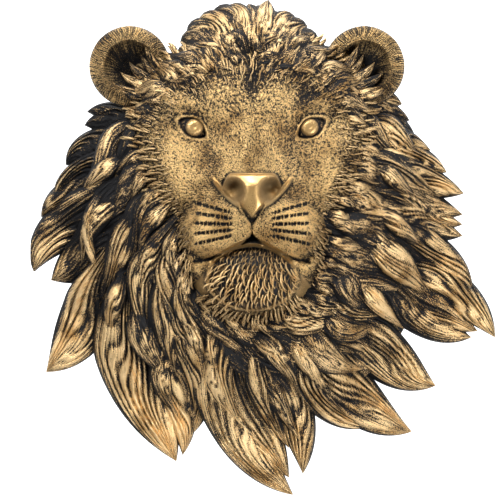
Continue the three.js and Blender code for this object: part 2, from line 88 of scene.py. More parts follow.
def heading(degrees):
    """The unit vector of a direction."""
    a = np.radians(degrees)
    return np.array([np.sin(a), np.cos(a)])


class Form(NamedTuple):
    """A rounded form of the face: its peak in the middle, and its fall from there to the half sizes."""
    x: float
    z: float
    half_width: float
    half_height: float
    peak: float
    fall: float = 0.0
    power: float = 1.0
    turn: float = 0.0

    def local(self, x, z):
        a = radians(self.turn)
        dx, dz = x - self.x, z - self.z
        across, up = dx * cos(a) + dz * sin(a), dz * cos(a) - dx * sin(a)
        return across / self.half_width, up / self.half_height

    def depth(self, x, z):
        u, v = self.local(x, z)
        return self.peak - self.fall * (u * u + v * v) ** self.power

    def swell(self, x, z):
        u, v = self.local(x, z)
        return self.peak * np.exp(-(u * u + v * v))


def band(offset, width):
    """One on a line, falling smoothly to nought past a width at either side."""
    return np.exp(-(offset / width) ** 2)


MANE_CENTRE = (0.0, -12.0)
TIP_DEPTH = 9.0
MOUND_Z, MOUND_HALF_WIDTH, MOUND_UP, MOUND_DOWN = -14.0, 146.0, 138.0, 164.0
MOUND_CROWN, MOUND_RIM = 66.0, 14.0

SKULL = Form(0, 46, 78, 84, 82, 27, 1.2)
JAW = Form(0, -34, 60, 62, 76, 24, 1.2)
CHEEK = Form(49, 26, 27, 32, 73.5, 14)
FOREHEAD = Form(22, 80, 23, 22, 85.5, 10, 1.0, 20)
BROW = Form(40, 69, 22, 9, 78, 8, 1.0, 18)
EYE_SOCKET = Form(42, 53, 19, 13, 8.0, turn=22)
BRIDGE_HOLLOW = Form(33, 32, 9, 22, 2.2, turn=-8)
BROW_FURROW = Form(0, 90, 6.5, 18, 3.6)
MUZZLE = Form(0, -14, 39, 38, 94, 21, 1.4)
LIP_PAD = Form(21.5, -23, 25, 20.5, 103.5, 13, 1.5, -20)
NOSTRIL = Form(14.2, 4.0, 7.4, 9.0, 11, turn=-20)
NOSTRIL_DEEP = Form(14.2, 7.6, 5.4, 4.6, 10, turn=-20)
NOSTRIL_FLOOR = Form(16.6, 3, 4.2, 4.2, 1)
NOSE_HUMP = Form(12, 12, 5, 4, 1.6)
NOSE_TOP, NOSE_LENGTH, NOSE_DEPTH = 15.5, 31.0, 111.5
BRIDGE_TOP, BRIDGE_LENGTH, BRIDGE_HALF_WIDTHS, BRIDGE_DEPTHS = 78.0, 64.0, (23.0, 26.0), (85.0, 105.0)
MOUTH_TOP, MOUTH_DROP, MOUTH_HALF_WIDTH = -27.0, 23.5, 44.0
LOWER_LIP_TOP, LOWER_LIP_DROP, LOWER_LIP_HALF_WIDTH = -35.5, 16.5, 32.5
LOWER_LIP_DEPTH, LOWER_LIP_HALF_HEIGHT = 96.0, 1.9
LOWER_JAW = Form(0, -50, 48, 27, 85, 13, 2.0)
CHIN = Form(0, -62, 32.5, 23.5, 97, 12, 1.7)
LIP_FOLD = Form(44.5, -52.5, 4.2, 9.5, 6, turn=-34)
EYE_X, EYE_Z, EYE_TURN = 45.8, 53.8, 25.0
EYE_HALF_WIDTH, EYE_HALF_HEIGHT, IRIS = 11.6, 6.8, 6.6
IRIS_SHIFT = 1.4
WHISKER_ROWS, WHISKER_DASH = 5, 3.3
EYE_BALL, EYE_BALL_DEPTH, IRIS_DEPTH = 14.0, 60.5, 74.4
BROW_SHADE = Form(41, 77, 7, 11, 0.15)
EYE_CORNER_SHADE = Form(30, 30, 6, 22, 0.12)
LIP_PAD_LIGHT = Form(24, -28, 16, 14, 0.06)


def mound_share(x, z):
    return (x / MOUND_HALF_WIDTH) ** 2 + ((z - MOUND_Z) / np.where(z > MOUND_Z, MOUND_UP, MOUND_DOWN)) ** 2


def mound_depth(x, z):
    return MOUND_CROWN - (MOUND_CROWN - MOUND_RIM) * mound_share(x, z) ** 0.9


def mouth_line(ax):
    return MOUTH_TOP - MOUTH_DROP * (np.maximum(ax, 0.01) / MOUTH_HALF_WIDTH) ** 0.6


def lower_lip(ax):
    return LOWER_LIP_TOP - LOWER_LIP_DROP * (ax / LOWER_LIP_HALF_WIDTH) ** 2


def wing_line(ax):
    """The height of the nostril's lower rim, which ends in a point beside the nose."""
    out = ax - 8.4
    return -7 + 0.42 * out + 0.024 * out * out


def skull_depth(ax, z):
    """The skull with its cheeks, forehead and brows, before the nose and the muzzle."""
    d = smooth_max(SKULL.depth(ax, z), JAW.depth(ax, z), 14)
    d = smooth_max(d, CHEEK.depth(ax, z), 18)
    d = smooth_max(d, FOREHEAD.depth(ax, z), 11)
    d = smooth_max(d, BROW.depth(ax, z), 9)
    return d - EYE_SOCKET.swell(ax, z) - BRIDGE_HOLLOW.swell(ax, z)


def nose_bridge(ax, z):
    t = (BRIDGE_TOP - z) / BRIDGE_LENGTH
    half = lerp(*BRIDGE_HALF_WIDTHS, np.clip(t, 0, 1))
    beyond = 30 * np.maximum(-t, 0) + 12 * np.maximum(t - 1, 0)
    return lerp(*BRIDGE_DEPTHS, np.clip(t, 0, 1) ** 1.15) - 11 * (ax / half) ** 2 - beyond


def nose_top(ax):
    """The height of the nose's upper edge, which is rounded off over the nostrils."""
    return 17 - 0.2 * np.maximum(ax - 15.5, 0) ** 2


def nose_cleft(ax):
    """The height of the line that runs down from the nostrils to a point below the nose."""
    return -21.5 + 15 * ax / 9.2


def nose_foot(ax):
    """The height of the nose's lower edge, which narrows to a point."""
    return -15.5 + 1.17 * ax


def under_nose(ax, z):
    return step(-0.5, 1.5, z - nose_cleft(ax)) * step(1.0, -1.0, z - nose_foot(ax))


def nose_pad(ax, z):
    """The nose's front: broad at the top, humped over the nostrils, and narrow below."""
    t = (NOSE_TOP - z) / NOSE_LENGTH
    half = lerp(22.5, 4.5, np.clip(t, 0, 1) ** 1.2)
    round_top = 5 * np.abs(np.maximum(0.3 - t, 0) * 3.2) ** 2.2
    round_front = 9 * np.maximum(t - 0.4, 0) ** 1.5 + 200 * np.maximum(t - 1, 0)
    hump = NOSE_HUMP.swell(ax, z) - 1.4 * band(ax, 7) * step(8, 14, z)
    over_top = 22 * step(-1.5, 4, z - nose_top(ax))
    return NOSE_DEPTH + hump - 6 * (ax / half) ** 4 - round_top - round_front - over_top


def nostril_share(ax, z):
    u, v = NOSTRIL.local(ax, z)
    return np.exp(-(u * u + v * v) ** 1.9)


def nostril(ax, z):
    """How deep the nostril is cut: a bowl beside the nose, a deeper slit at its top and a rounded floor."""
    return NOSTRIL.peak * nostril_share(ax, z) + NOSTRIL_DEEP.swell(ax, z) - 3 * NOSTRIL_FLOOR.swell(ax, z)


def cleft_share(ax, z):
    return band(z - nose_cleft(ax), 1.2) * step(11, 8.5, ax) * step(-4, -7, z)


def upper_depth(ax, z):
    """The face above the mouth line."""
    d = smooth_max(skull_depth(ax, z), nose_bridge(ax, z), 20)
    d = smooth_max(d, MUZZLE.depth(ax, z), 22)
    d = smooth_max(d, LIP_PAD.depth(ax, z), 10)
    d = smooth_max(d, nose_pad(ax, z), 7)
    wing = band(z - wing_line(ax), 2.1) * step(9, 17, ax) * step(32, 27, ax)
    d = d + 5 * wing - nostril(ax, z)
    d = d - 2.4 * cleft_share(ax, z) - 1.8 * under_nose(ax, z)
    return d - 1.4 * band(ax, 0.9) * step(-19, -21, z) * step(-30, -27, z)


def chin_share(ax, z):
    u, v = CHIN.local(ax, z)
    return np.hypot(u, v)


def chin_rim(ax, z):
    return band(chin_share(ax, z) - 1.05, 0.05) * step(-52, -62, z)


def lower_depth(ax, z):
    """The jaw, chin and lower lip, below the mouth line."""
    d = smooth_max(np.minimum(skull_depth(ax, z), 70), LOWER_JAW.depth(ax, z), 4)
    d = smooth_max(d, CHIN.depth(ax, z), 2)
    d = d + 2.5 * chin_rim(ax, z)
    off = (z - lower_lip(ax)) / LOWER_LIP_HALF_HEIGHT
    lip = LOWER_LIP_DEPTH - 8 * (ax / 33) ** 2 - 4.5 * off * off - 60 * step(28, 40, ax)
    return smooth_max(d, lip, 2) + LIP_FOLD.swell(ax, z)


def eye_frame(ax, z):
    """How far out of the eye's opening a point lies, and its offset from the eye's middle."""
    a = radians(EYE_TURN)
    dx, dz = ax - EYE_X, z - EYE_Z
    u = (dx * cos(a) + dz * sin(a)) / EYE_HALF_WIDTH
    v = (dz * cos(a) - dx * sin(a)) / EYE_HALF_HEIGHT
    v = v + 0.25 * np.clip(-u, 0, 1.4) ** 2 - 0.1 * np.clip(u, 0, 1.4) ** 2
    return np.sqrt(u * u + v * v * (1 + 0.8 * u * u)), dx, dz


def from_iris(dx, dz):
    return np.hypot(dx + IRIS_SHIFT, dz - 0.3)


def with_eye(ax, z, d):
    """The face with the eyeball, its raised iris and the lids set into it."""
    r, dx, dz = eye_frame(ax, z)
    off = from_iris(dx, dz)
    ball = EYE_BALL_DEPTH + np.sqrt(np.maximum(EYE_BALL ** 2 - off * off, 0))
    iris = IRIS_DEPTH + 2.8 * np.sqrt(np.clip(1 - (off / IRIS) ** 2, 0, 1)) - 0.7 * band(off, 2.0)
    eye = lerp(ball, iris, step(IRIS + 0.2, IRIS - 0.4, off)) - 1.6 * step(0.8, 1.0, r)
    lid = (1.3 + 2.4 * step(-2, 5, dz)) * band(r - 1.18, 0.2)
    return lerp(d + lid, eye, step(1.04, 0.96, r))


def whisker_rows(ax, z):
    """Short dashes cut in rows that fan out over the lip pads, as a share of their full depth."""
    cut = 0
    for row in range(WHISKER_ROWS):
        share = row / (WHISKER_ROWS - 1)
        line = lerp(-12.5, -30, share) + lerp(0.29, -0.22, share) * (ax - 16)
        dash = np.sin(ax * 2 * pi / WHISKER_DASH + row * 2 + np.sin(ax * 0.7 + row * 3))
        along = step(13, 20, ax) * step(46, 40, ax)
        cut = cut + band(z - line, 1.2) * along * step(-1.1, -0.45, dash)
    return cut


def face_depth(x, z):
    ax = np.abs(x)
    upper, lower, lip = upper_depth(ax, z), lower_depth(ax, z), mouth_line(ax)
    d = lerp(upper, np.minimum(lower, upper + 40), step(lip + 1.2, lip - 2.2, z))
    d = lerp(d, smooth_max(upper, lower, 5), step(38, 48, ax))
    d = d - 4 * band(z - lip + 0.8, 1.2) * step(42, 30, ax)
    d = d - 2.4 * whisker_rows(ax, z)
    return with_eye(ax, z, d - BROW_FURROW.swell(x, z))


def head_depth(x, z):
    return np.maximum(mound_depth(x, z), face_depth(x, z))


# Meshes

SHARES = ("rise", "polish", "fur", "net")
SMOOTH_ANGLE = 62


class Carving:
    """Vertices, triangles and the paint's attributes of one piece, gathered shell by shell."""

    def __init__(self):
        self.points, self.triangles, self.rise, self.strand = [], [], [], []
        self.polish, self.fur, self.net = [], [], []
        self.count = 0

    def add(self, points, triangles, rise, strand=None, polish=None, fur=None, net=None):
        """Adds a closed shell. Triangles that face inwards are turned round."""
        a, b, c = (points[triangles[:, k]] for k in range(3))
        if np.einsum("ij,ij->i", a, np.cross(b, c)).sum() < 0:
            triangles = triangles[:, ::-1]
        n = len(points)
        self.points.append(points)
        self.triangles.append(triangles + self.count)
        self.rise.append(rise)
        self.strand.append(np.zeros((n, 3)) if strand is None else strand)
        self.polish.append(np.zeros(n) if polish is None else polish)
        self.fur.append(np.zeros(n) if fur is None else fur)
        self.net.append(np.zeros(n) if net is None else net)
        self.count += n

    def mesh(self, name, within=True):
        mesh = bpy.data.meshes.new(name)
        points = np.concatenate(self.points) * MM
        if within:
            points = np.clip(points, *CAD_BOX)
        triangles = np.concatenate(self.triangles)
        mesh.vertices.add(len(points))
        mesh.vertices.foreach_set("co", points.ravel())
        mesh.loops.add(triangles.size)
        mesh.loops.foreach_set("vertex_index", triangles.ravel())
        mesh.polygons.add(len(triangles))
        mesh.polygons.foreach_set("loop_start", np.arange(0, triangles.size, 3))
        mesh.update(calc_edges=True)
        for key in SHARES:
            share = mesh.attributes.new(key, "FLOAT", "POINT")
            share.data.foreach_set("value", np.concatenate(getattr(self, key)))
        strand = mesh.attributes.new("strand", "FLOAT_VECTOR", "POINT")
        strand.data.foreach_set("vector", np.concatenate(self.strand).ravel())
        mesh.polygons.foreach_set("use_smooth", np.ones(len(triangles), dtype=bool))
        mesh.set_sharp_from_angle(angle=radians(SMOOTH_ANGLE))
        mesh.validate()
        return mesh


def strip_triangles(rows, columns, closed=False):
    """The triangles of a grid of points, rows by columns, whose columns may close to a ring."""
    i, j = np.meshgrid(np.arange(rows - 1), np.arange(columns if closed else columns - 1), indexing="ij")
    a = i * columns + j
    b = i * columns + (j + 1) % columns
    c, d = b + columns, a + columns
    return np.concatenate([np.stack([a, b, c], -1).reshape(-1, 3), np.stack([a, c, d], -1).reshape(-1, 3)])


def fan(ring, centre, flip=False):
    """The triangles from a ring of point numbers to a centre."""
    ring = np.asarray(ring)
    following = np.roll(ring, -1)
    middle = np.full(len(ring), centre)
    return np.stack([following, ring, middle] if flip else [ring, following, middle], -1)


def ridge(q):
    """A row of rounded ridges one apart, sharp in between."""
    return 1 - np.abs(2 * (q - np.floor(q)) - 1) ** 2.1


def ridge_height(q, seed):
    """A height for each ridge in a row, the same for its whole length."""
    return 0.5 + 0.5 * np.sin(np.floor(q) * 12.9898 + seed * 78.233)


def taper(t, fall=3):
    """A lock's half width along its length: narrow at the root, full in its belly, and a point at the tip."""
    return (0.55 + 0.45 * step(0, 0.4, t)) * (1 - t ** fall)


def bezier(root, leave, tip, arrive, t, sway):
    root, tip = np.array(root, dtype=float), np.array(tip, dtype=float)
    length = np.hypot(*(tip - root))
    p1 = root + heading(leave) * length * 0.38 * sway
    p2 = tip - heading(arrive) * length * 0.34 * sway
    t = t[:, None]
    s = 1 - t
    points = s ** 3 * root + 3 * s * s * t * p1 + 3 * s * t * t * p2 + t ** 3 * tip
    tangents = 3 * s * s * (p1 - root) + 6 * s * t * (p2 - p1) + 3 * t * t * (tip - p2)
    return points, tangents / np.linalg.norm(tangents, axis=1, keepdims=True), length


class LockStyle(NamedTuple):
    """How one kind of lock is carved and painted."""
    thickness: float
    strand_rise: float = 3.0
    strand_width: float = 6.0
    bright: float = 0.0
    # root_shade: how far from its root a lock keeps its painted shade, as a share of its length
    root_shade: float = 0.3
    sway: float = 1.0
    fall: float = 3
    grounded: bool = False


LINE_WIDTH, LINE_RISE = 1.9, 1.1
# EDGE_SHADE is the painted shade along a lock's edges, where it turns under
LEAST_GOLD, STRAND_GOLD, LINE_GOLD, EDGE_SHADE, END_GOLD = -0.24, 0.54, 0.54, 0.4, 0.75
SECTION_SPACING, MOST_SECTIONS = 2.5, 64
POINT_SPACING, MOST_ACROSS = 0.62, 90
FEWEST_POINTS = 6
UNDERSIDE_TOP = -0.5


def lock_carving(T, U, width, high, style, seed):
    """A lock's rise over its base, its gold, and the wave of its strands, along T and across U."""
    wave = (1.5 if style.grounded else 0.9) * (np.sin(seed * 1.7 + T * 5) + np.sin(seed) * T)
    inside = np.clip(1 - U * U, 0, 1)
    uneven = U * 0.5 + 0.5 + 0.08 * np.sin(U * 4.3 + seed * 2.3) * inside
    strands = uneven * max(2, round(width / style.strand_width))
    strands = strands + (wave + 0.5 * np.sin(T * 9 + U * 4 + seed)) * inside
    lines = uneven * max(4, round(width / LINE_WIDTH)) + 2.2 * wave + 0.9 * np.sin(T * 7 + U * 3 + seed * 2)
    big = ridge(strands)
    own = ridge_height(strands, seed) * (0.8 + 0.2 * np.sin(T * 8 + np.floor(strands) * 2.1))
    fine = ridge(lines) * (0.6 + 0.4 * ridge_height(lines, seed + 3))
    envelope = np.clip(1 - np.abs(U) ** 6, 0, 1) * taper(T) ** 0.8
    crown = np.clip(1 - np.abs(U) ** 2.5, 0, 1) ** 0.75
    rise = crown * high * 0.9 + style.strand_rise * (big * (0.5 + 0.5 * own) - 0.6) * envelope
    rise = rise + LINE_RISE * fine * envelope
    rise = np.where(np.abs(U) > 0.999, 0, rise)
    gold = LEAST_GOLD + STRAND_GOLD * big ** 1.4 * (0.4 + 0.6 * own) + 0.08 * crown
    gold = gold + style.bright + 0.12 * sin(seed * 5.1)
    # Painted shade near the root, where a lock comes out from under others, and along its edges; a little
    # painted light towards the tip
    gold = gold * (0.5 + 0.5 * step(0.0, style.root_shade, T)) + LINE_GOLD * fine + 0.1 * step(0.5, 0.95, T)
    return rise, gold - EDGE_SHADE * step(0.8, 1.0, np.abs(U)), wave


def grounded_tip(ring, across, apex):
    """The triangles at the tip of a lock that stands on the wall, where the next point is its foot."""
    foot = apex + 1
    over = [[ring[k + 1], ring[k], apex] for k in range(across - 1)]
    a, b, c, d = ring[across - 1], ring[across], ring[across + 1], ring[0]
    return np.array(over + [[b, a, apex], [b, apex, foot], [c, b, foot], [d, c, foot], [d, foot, apex]])


def carve_lock(carving, root, leave, tip, arrive, width, style, depth_at, seed, roll=0.0):
    """A lock of hair: a crowned, tapered strip along a curve, with carved strands and finer lines."""
    span = np.hypot(tip[0] - root[0], tip[1] - root[1])
    sections = int(np.clip(span / SECTION_SPACING, FEWEST_POINTS, MOST_SECTIONS))
    across = int(np.clip(width / POINT_SPACING, FEWEST_POINTS, MOST_ACROSS))
    t = np.arange(sections) / sections
    centre, tangent, length = bezier(root, leave, tip, arrive, np.append(t, 1.0), style.sway)
    end, centre, tangent = centre[-1], centre[:-1], tangent[:-1]
    T, U = np.meshgrid(t, np.linspace(-1, 1, across), indexing="ij")
    half = (width / 2 * taper(t, style.fall))[:, None]
    high = (style.thickness * taper(t, style.fall) ** 0.6)[:, None]
    tilt = np.sin(np.radians(roll * (1 - 0.6 * t)))[:, None]
    base = depth_at(centre[:, 0], centre[:, 1], t)[:, None]
    rise, gold, wave = lock_carving(T, U, width, high, style, seed)
    side = U * half
    x = centre[:, :1] + tangent[:, 1:] * side
    z = centre[:, 1:] - tangent[:, :1] * side
    y = -(base + rise + side * tilt)
    if style.grounded:
        shares = np.array([0.97, -0.97])
        under = np.zeros((sections, 2))
    else:
        shares = np.array([0.75, 0.0, -0.75])
        under = -(base + shares * half * tilt - 1.2 * high * np.array([0.7, 1.2, 0.7]))
        under = np.minimum(under, UNDERSIDE_TOP)
    under_x = centre[:, :1] + tangent[:, 1:] * shares * half
    under_z = centre[:, 1:] - tangent[:, :1] * shares * half
    grid = np.concatenate([np.stack([x, y, z], -1), np.stack([under_x, under, under_z], -1)], 1)
    columns = grid.shape[1]
    flat = grid.reshape(-1, 3)
    tip_depth = float(depth_at(end[:1], end[1:], np.array([1.0]))[0])
    ends = [[end[0], -tip_depth - 0.4, end[1]]]
    last = np.arange(columns) + (sections - 1) * columns
    if style.grounded:
        ends.append([end[0], 0.0, end[1]])
        tip_triangles = grounded_tip(last.tolist(), across, len(flat))
    else:
        tip_triangles = fan(last, len(flat), flip=True)
    ends.append(list(flat[:columns].mean(0)))
    root_triangles = fan(np.arange(columns), len(flat) + len(ends) - 1)
    body = strip_triangles(sections, columns, closed=True)
    painted = np.zeros((sections, columns))
    painted[:, :across] = gold
    mark = np.zeros((sections, columns, 3))
    mark[:, :across, 0] = (U * 0.5 + 0.5) * width * 0.8 + 1.2 * wave
    mark[:, :across, 1] = T * length
    mark[..., 2] = seed * 3.7
    end_gold = np.full(len(ends), END_GOLD)
    end_gold[-1] = 0
    end_marks = np.tile(mark[-1, across // 2], (len(ends), 1))
    carving.add(np.concatenate([flat, np.array(ends)]), np.concatenate([body, tip_triangles, root_triangles]),
                np.concatenate([painted.ravel(), end_gold]), np.concatenate([mark.reshape(-1, 3), end_marks]))


# The mane's plan. A row holds a lock's root x and z, the direction in which it leaves its root, its tip's
# x and z, the direction in which it arrives there, its width and, for a top lock, how far it stands off.

OUTER_LOCKS = [
    (-84, 62, 286, -133, 71, 262, 20),
    (-88, 52, 284, -135, 60, 250, 24),
    (-88, 42, 268, -150, 28, 220, 36),
    (-92, 28, 258, -160, 0, 216, 34),
    (-94, 18, 252, -170, -14, 212, 30),
    (-98, 8, 244, -176, -58, 192, 40),
    (-104, -20, 224, -162, -65, 238, 42),
    (-106, -44, 212, -166, -139, 232, 48),
    (-94, -64, 206, -61, -211, 156, 56),
    (-72, -104, 172, -56, -206, 190, 30),
    (-58, -88, 176, -47, -188, 190, 40),
    (-30, -84, 186, 33, -238, 128, 46),
    (-14, -100, 184, 30, -224, 146, 44),
    (2, -96, 158, 41, -221, 184, 38),
    (24, -106, 150, 92, -184, 110, 36),
    (36, -98, 142, 129, -187, 104, 46),
    (66, -90, 126, 148, -150, 106, 46),
    (92, -64, 118, 177, -111, 97, 34),
    (100, -58, 114, 182, -106, 112, 30),
    (112, -46, 112, 196, -111, 150, 34),
    (104, -22, 112, 178, -74, 146, 32),
    (98, -2, 106, 170, -29, 98, 28),
    (96, 6, 104, 170, -20, 96, 24),
    (96, 14, 102, 170, -12, 100, 26),
    (92, 26, 96, 171, 5, 104, 30),
    (92, 38, 92, 157, 22, 118, 28),
    (86, 50, 84, 144, 40, 102, 26),
    (80, 62, 80, 131, 53, 114, 26),
    (78, 70, 80, 127, 64, 112, 22),
    (74, 78, 78, 121, 77, 112, 24),
]
TOP_LOCKS = [
    (-108, 20, 218, -119, -68, 158, 14, 12),
    (-86, -74, 196, -62, -148, 150, 26, 10),
    (-62, -78, 162, -46, -172, 192, 30, 6),
    (-24, -90, 192, -9, -181, 150, 32, 6),
    (2, -94, 172, 30, -200, 150, 30, 5),
    (0, -92, 150, 36, -156, 168, 24, 10),
    (34, -90, 145, 88, -136, 96, 32, 9),
    (50, -84, 135, 101, -99, 72, 28, 10),
    (68, -46, 172, 98, -84, 92, 26, 11),
    (84, -28, 122, 144, -78, 128, 30, 12),
    (-60, -82, 150, -38, -143, 178, 15, 12),
    (-8, -94, 130, 30, -143, 152, 20, 12),
    (-34, -92, 176, -24, -150, 160, 16, 11),
    (20, -96, 140, 66, -160, 140, 20, 9),
    (-76, -112, 172, -58, -178, 152, 20, 8),
    (8, -120, 165, 40, -196, 150, 18, 9),
    (76, -60, 130, 122, -104, 128, 18, 13),
    (-98, -50, 200, -112, -118, 178, 18, 11),
    (92, -8, 112, 140, -40, 118, 17, 12),
    (-98, 6, 232, -136, -52, 190, 20, 12),
    (-92, 34, 250, -138, 0, 216, 18, 11),
    (88, 28, 104, 134, 0, 112, 16, 12),
]


class Ring(NamedTuple):
    """A ring of locks between two directions, from a share of the face's reach out to a reach."""
    count: int
    start: float
    end: float
    root: float
    reach: float
    spread: float
    width: float
    lift: float
    thickness: float


RINGS = [
    Ring(16, 52, 306, 1.12, 146, 9, 35, 3, 9),
    Ring(17, 46, 314, 0.98, 118, 8, 29, 6, 8),
]
CREST_LOCKS = [
    (-32, 98, 318, -60, 114, 256, 22),
    (-26, 102, 326, -57, 123, 248, 26),
    (-20, 106, 332, -52, 131, 244, 28),
    (-14, 110, 336, -43, 138, 250, 28),
    (-9, 114, 340, -32, 145, 258, 28),
    (-5, 116, 346, -21, 150, 280, 24),
    (-2, 118, 350, -13, 150, 306, 20),
    (1, 116, 356, -3, 154, 338, 22),
    (5, 112, 2, 5, 153, 10, 22),
    (8, 112, 8, 13, 157, 16, 20),
    (12, 108, 16, 23, 147, 52, 24),
    (16, 106, 22, 34, 144, 78, 26),
    (20, 104, 28, 44, 136, 92, 28),
    (26, 102, 36, 53, 126, 98, 26),
    (32, 98, 44, 60, 116, 104, 22),
]


class ForelockRow(NamedTuple):
    """Forelocks on both sides of the head, between two directions and two shares of the way out."""
    count: int
    start: float
    end: float
    root: float
    reach: float
    shift: float
    turn: float
    width: float
    lift: float
    thickness: float


FORELOCK_ROWS = [
    ForelockRow(8, 2, 34, 0.30, 0.86, 7, 26, 15, 9, 7.2),
    ForelockRow(12, 2, 42, 0.15, 0.66, 9, 32, 11, 6, 4.8),
    ForelockRow(17, 1, 46, 0.05, 0.44, 8, 34, 8, 4, 3.6),
    ForelockRow(24, 1, 46, -0.03, 0.24, 5, 32, 6, 2.5, 2.4),
]
CREST_TIP_DEPTH = 40.0
SHORTEST_FORELOCK = 15.0
CHEEK_LOCKS = 30
OUTER_STYLE = LockStyle(12, strand_rise=5.0, strand_width=6.5, root_shade=0.5, fall=4, grounded=True)
RING_STYLE = LockStyle(9, strand_width=5.5, root_shade=0.4, sway=1.2)
TOP_STYLE = LockStyle(11, bright=0.02, sway=1.3)
CHEEK_STYLE = LockStyle(6, strand_rise=2.0, bright=0.05, sway=1.25)
CREST_STYLE = LockStyle(10, bright=0.1, root_shade=0.15, fall=6)
FORELOCK_STYLE = LockStyle(6, strand_rise=1.8, bright=-0.04, root_shade=0.25, sway=1.3)


def on_mound(lift, sunk):
    """The depth of a lock that stands off the mound, with its root sunk into it."""
    def depth(x, z, t):
        proud = lift * (0.25 + 0.75 * np.sin(pi * np.minimum(t + 0.15, 1))) - sunk * (1 - t) ** 3
        return np.maximum(mound_depth(x, z), TIP_DEPTH + 4) + proud
    return depth


def on_head(lift):
    """The depth of a forelock that stands off the head, with its root sunk into it."""
    def depth(x, z, t):
        proud = lift * np.sin(pi * np.minimum(t * 0.8 + 0.15, 1)) - 6 * (1 - t) ** 3
        return np.maximum(head_depth(x, z), CREST_TIP_DEPTH) - 2 + proud
    return depth


def on_crest(x, z, t):
    return lerp(head_depth(x, z) - 3, CREST_TIP_DEPTH, step(0, 1, t)) + 10 * np.sin(pi * t)


def to_wall(x, z, t):
    """The depth of an outer lock, which comes down from the mound to the mask's edge."""
    return lerp(np.maximum(mound_depth(x, z) - 2, TIP_DEPTH), TIP_DEPTH, step(0.3, 1, t))


def sweep_at(degrees):
    """How far the hair is combed round, away from straight outwards."""
    a = radians(degrees)
    return 20 * sin(a) - 14 * (1 - cos(a)) + 16 * sin(2 * a) * max(cos(a), 0)


def face_reach(degrees):
    """How far the face reaches from the mane's centre."""
    a = radians(degrees)
    return 74 + 15.5 * cos(a) + 15.2 * cos(2 * a) + 24 * sin(2 * a) ** 2 * max(cos(a), 0)


def around(degrees, reach):
    return tuple(np.array(MANE_CENTRE) + heading(degrees) * reach)


def carve_outer_mane(carving):
    for i, (rx, rz, leave, tx, tz, arrive, width) in enumerate(OUTER_LOCKS):
        # Painted light: the outer locks get more gold towards the bottom of the mask
        style = OUTER_STYLE._replace(bright=0.14 * step(-20, -130, tz))
        carve_lock(carving, (rx, rz), leave, (tx, tz), arrive, width, style, to_wall, seed=i * 1.3 + 1,
                   roll=12 if i % 2 else -12)


def carve_rings(carving):
    for number, ring in enumerate(RINGS):
        style = RING_STYLE._replace(thickness=ring.thickness)
        for i in range(ring.count):
            at = lerp(ring.start, ring.end, i / (ring.count - 1))
            wave = sin(i * 2.4 + number * 1.7)
            sweep = sweep_at(at)
            carve_lock(carving, around(at, face_reach(at) * ring.root), at + sweep * 0.6 - 14 * wave,
                       around(at + sweep + wave * 3, ring.reach + ring.spread * wave),
                       at + sweep * 1.6 + 16 * wave, ring.width * (1 + 0.18 * sin(i * 1.9)), style,
                       on_mound(ring.lift, sunk=3), seed=40 + i * 1.7 + number * 31, roll=16 * sin(i * 3.1))


def carve_top_locks(carving):
    for i, (rx, rz, leave, tx, tz, arrive, width, lift) in enumerate(TOP_LOCKS):
        carve_lock(carving, (rx, rz), leave, (tx, tz), arrive, width, TOP_STYLE,
                   on_mound(lift + 2, sunk=lift + 8), seed=90 + i * 2.1, roll=14 if tx > 0 else -14)


def carve_cheek_locks(carving):
    """Narrow locks that start at the edge of the face, with free tips."""
    for i in range(CHEEK_LOCKS):
        at = lerp(56, 304, i / (CHEEK_LOCKS - 1))
        wave = sin(i * 2.7)
        sweep = sweep_at(at)
        root = around(at, face_reach(at) * (1.0 + 0.05 * sin(i * 4.1)))
        tip = around(at + sweep * 0.7 + 3 * wave, face_reach(at) + 33 + 9 * sin(i * 1.3))
        carve_lock(carving, root, at + sweep * 0.8 - 20 * wave, tip, at + sweep * 1.7 + 24 * wave,
                   13 + 3 * sin(i * 3.7), CHEEK_STYLE, on_mound(11, sunk=6), seed=260 + i * 1.9,
                   roll=14 * sin(i * 2.3))


def carve_crest(carving):
    for i, (rx, rz, leave, tx, tz, arrive, width) in enumerate(CREST_LOCKS):
        carve_lock(carving, (rx, rz), leave, (tx, tz), arrive, width, CREST_STYLE, on_crest,
                   seed=120 + i * 1.9, roll=14 * sin(i * 2.7))


def crest_reach(degrees):
    """How far the crest and the forelocks reach from the mane's centre."""
    return 116 + 50 * np.exp(-(degrees / 21) ** 2)


def carve_forelocks(carving):
    for number, row in enumerate(FORELOCK_ROWS):
        style = FORELOCK_STYLE._replace(thickness=row.thickness)
        for i in range(row.count * 2):
            side = 1 if i % 2 else -1
            wave = sin(i * 2.9 + number * 1.3)
            at = lerp(row.start, row.end, i // 2 / (row.count - 1)) + 2 * wave
            root_at, tip_at = side * at, side * (at + row.shift + 4 * sin(i * 1.9))
            inner = lerp(face_reach(root_at), crest_reach(root_at), row.root) + 2 * wave
            outer = lerp(face_reach(tip_at), crest_reach(tip_at), row.reach) + 3 * sin(i * 3.7 + number)
            outer = max(outer, inner + max(SHORTEST_FORELOCK, row.width * 1.8))
            carve_lock(carving, around(root_at, inner), side * (at + row.turn * 0.3 - 7 * wave),
                       around(tip_at, outer), side * (at + row.turn + 9 * wave),
                       row.width * (1 + 0.25 * sin(i * 4.3)), style, on_head(row.lift),
                       seed=150 + i * 2.3 + number * 37, roll=12 * sin(i * 2.1 + number))


MOUND_SPOKES, MOUND_RINGS, MOUND_STRANDS = 320, 30, 84


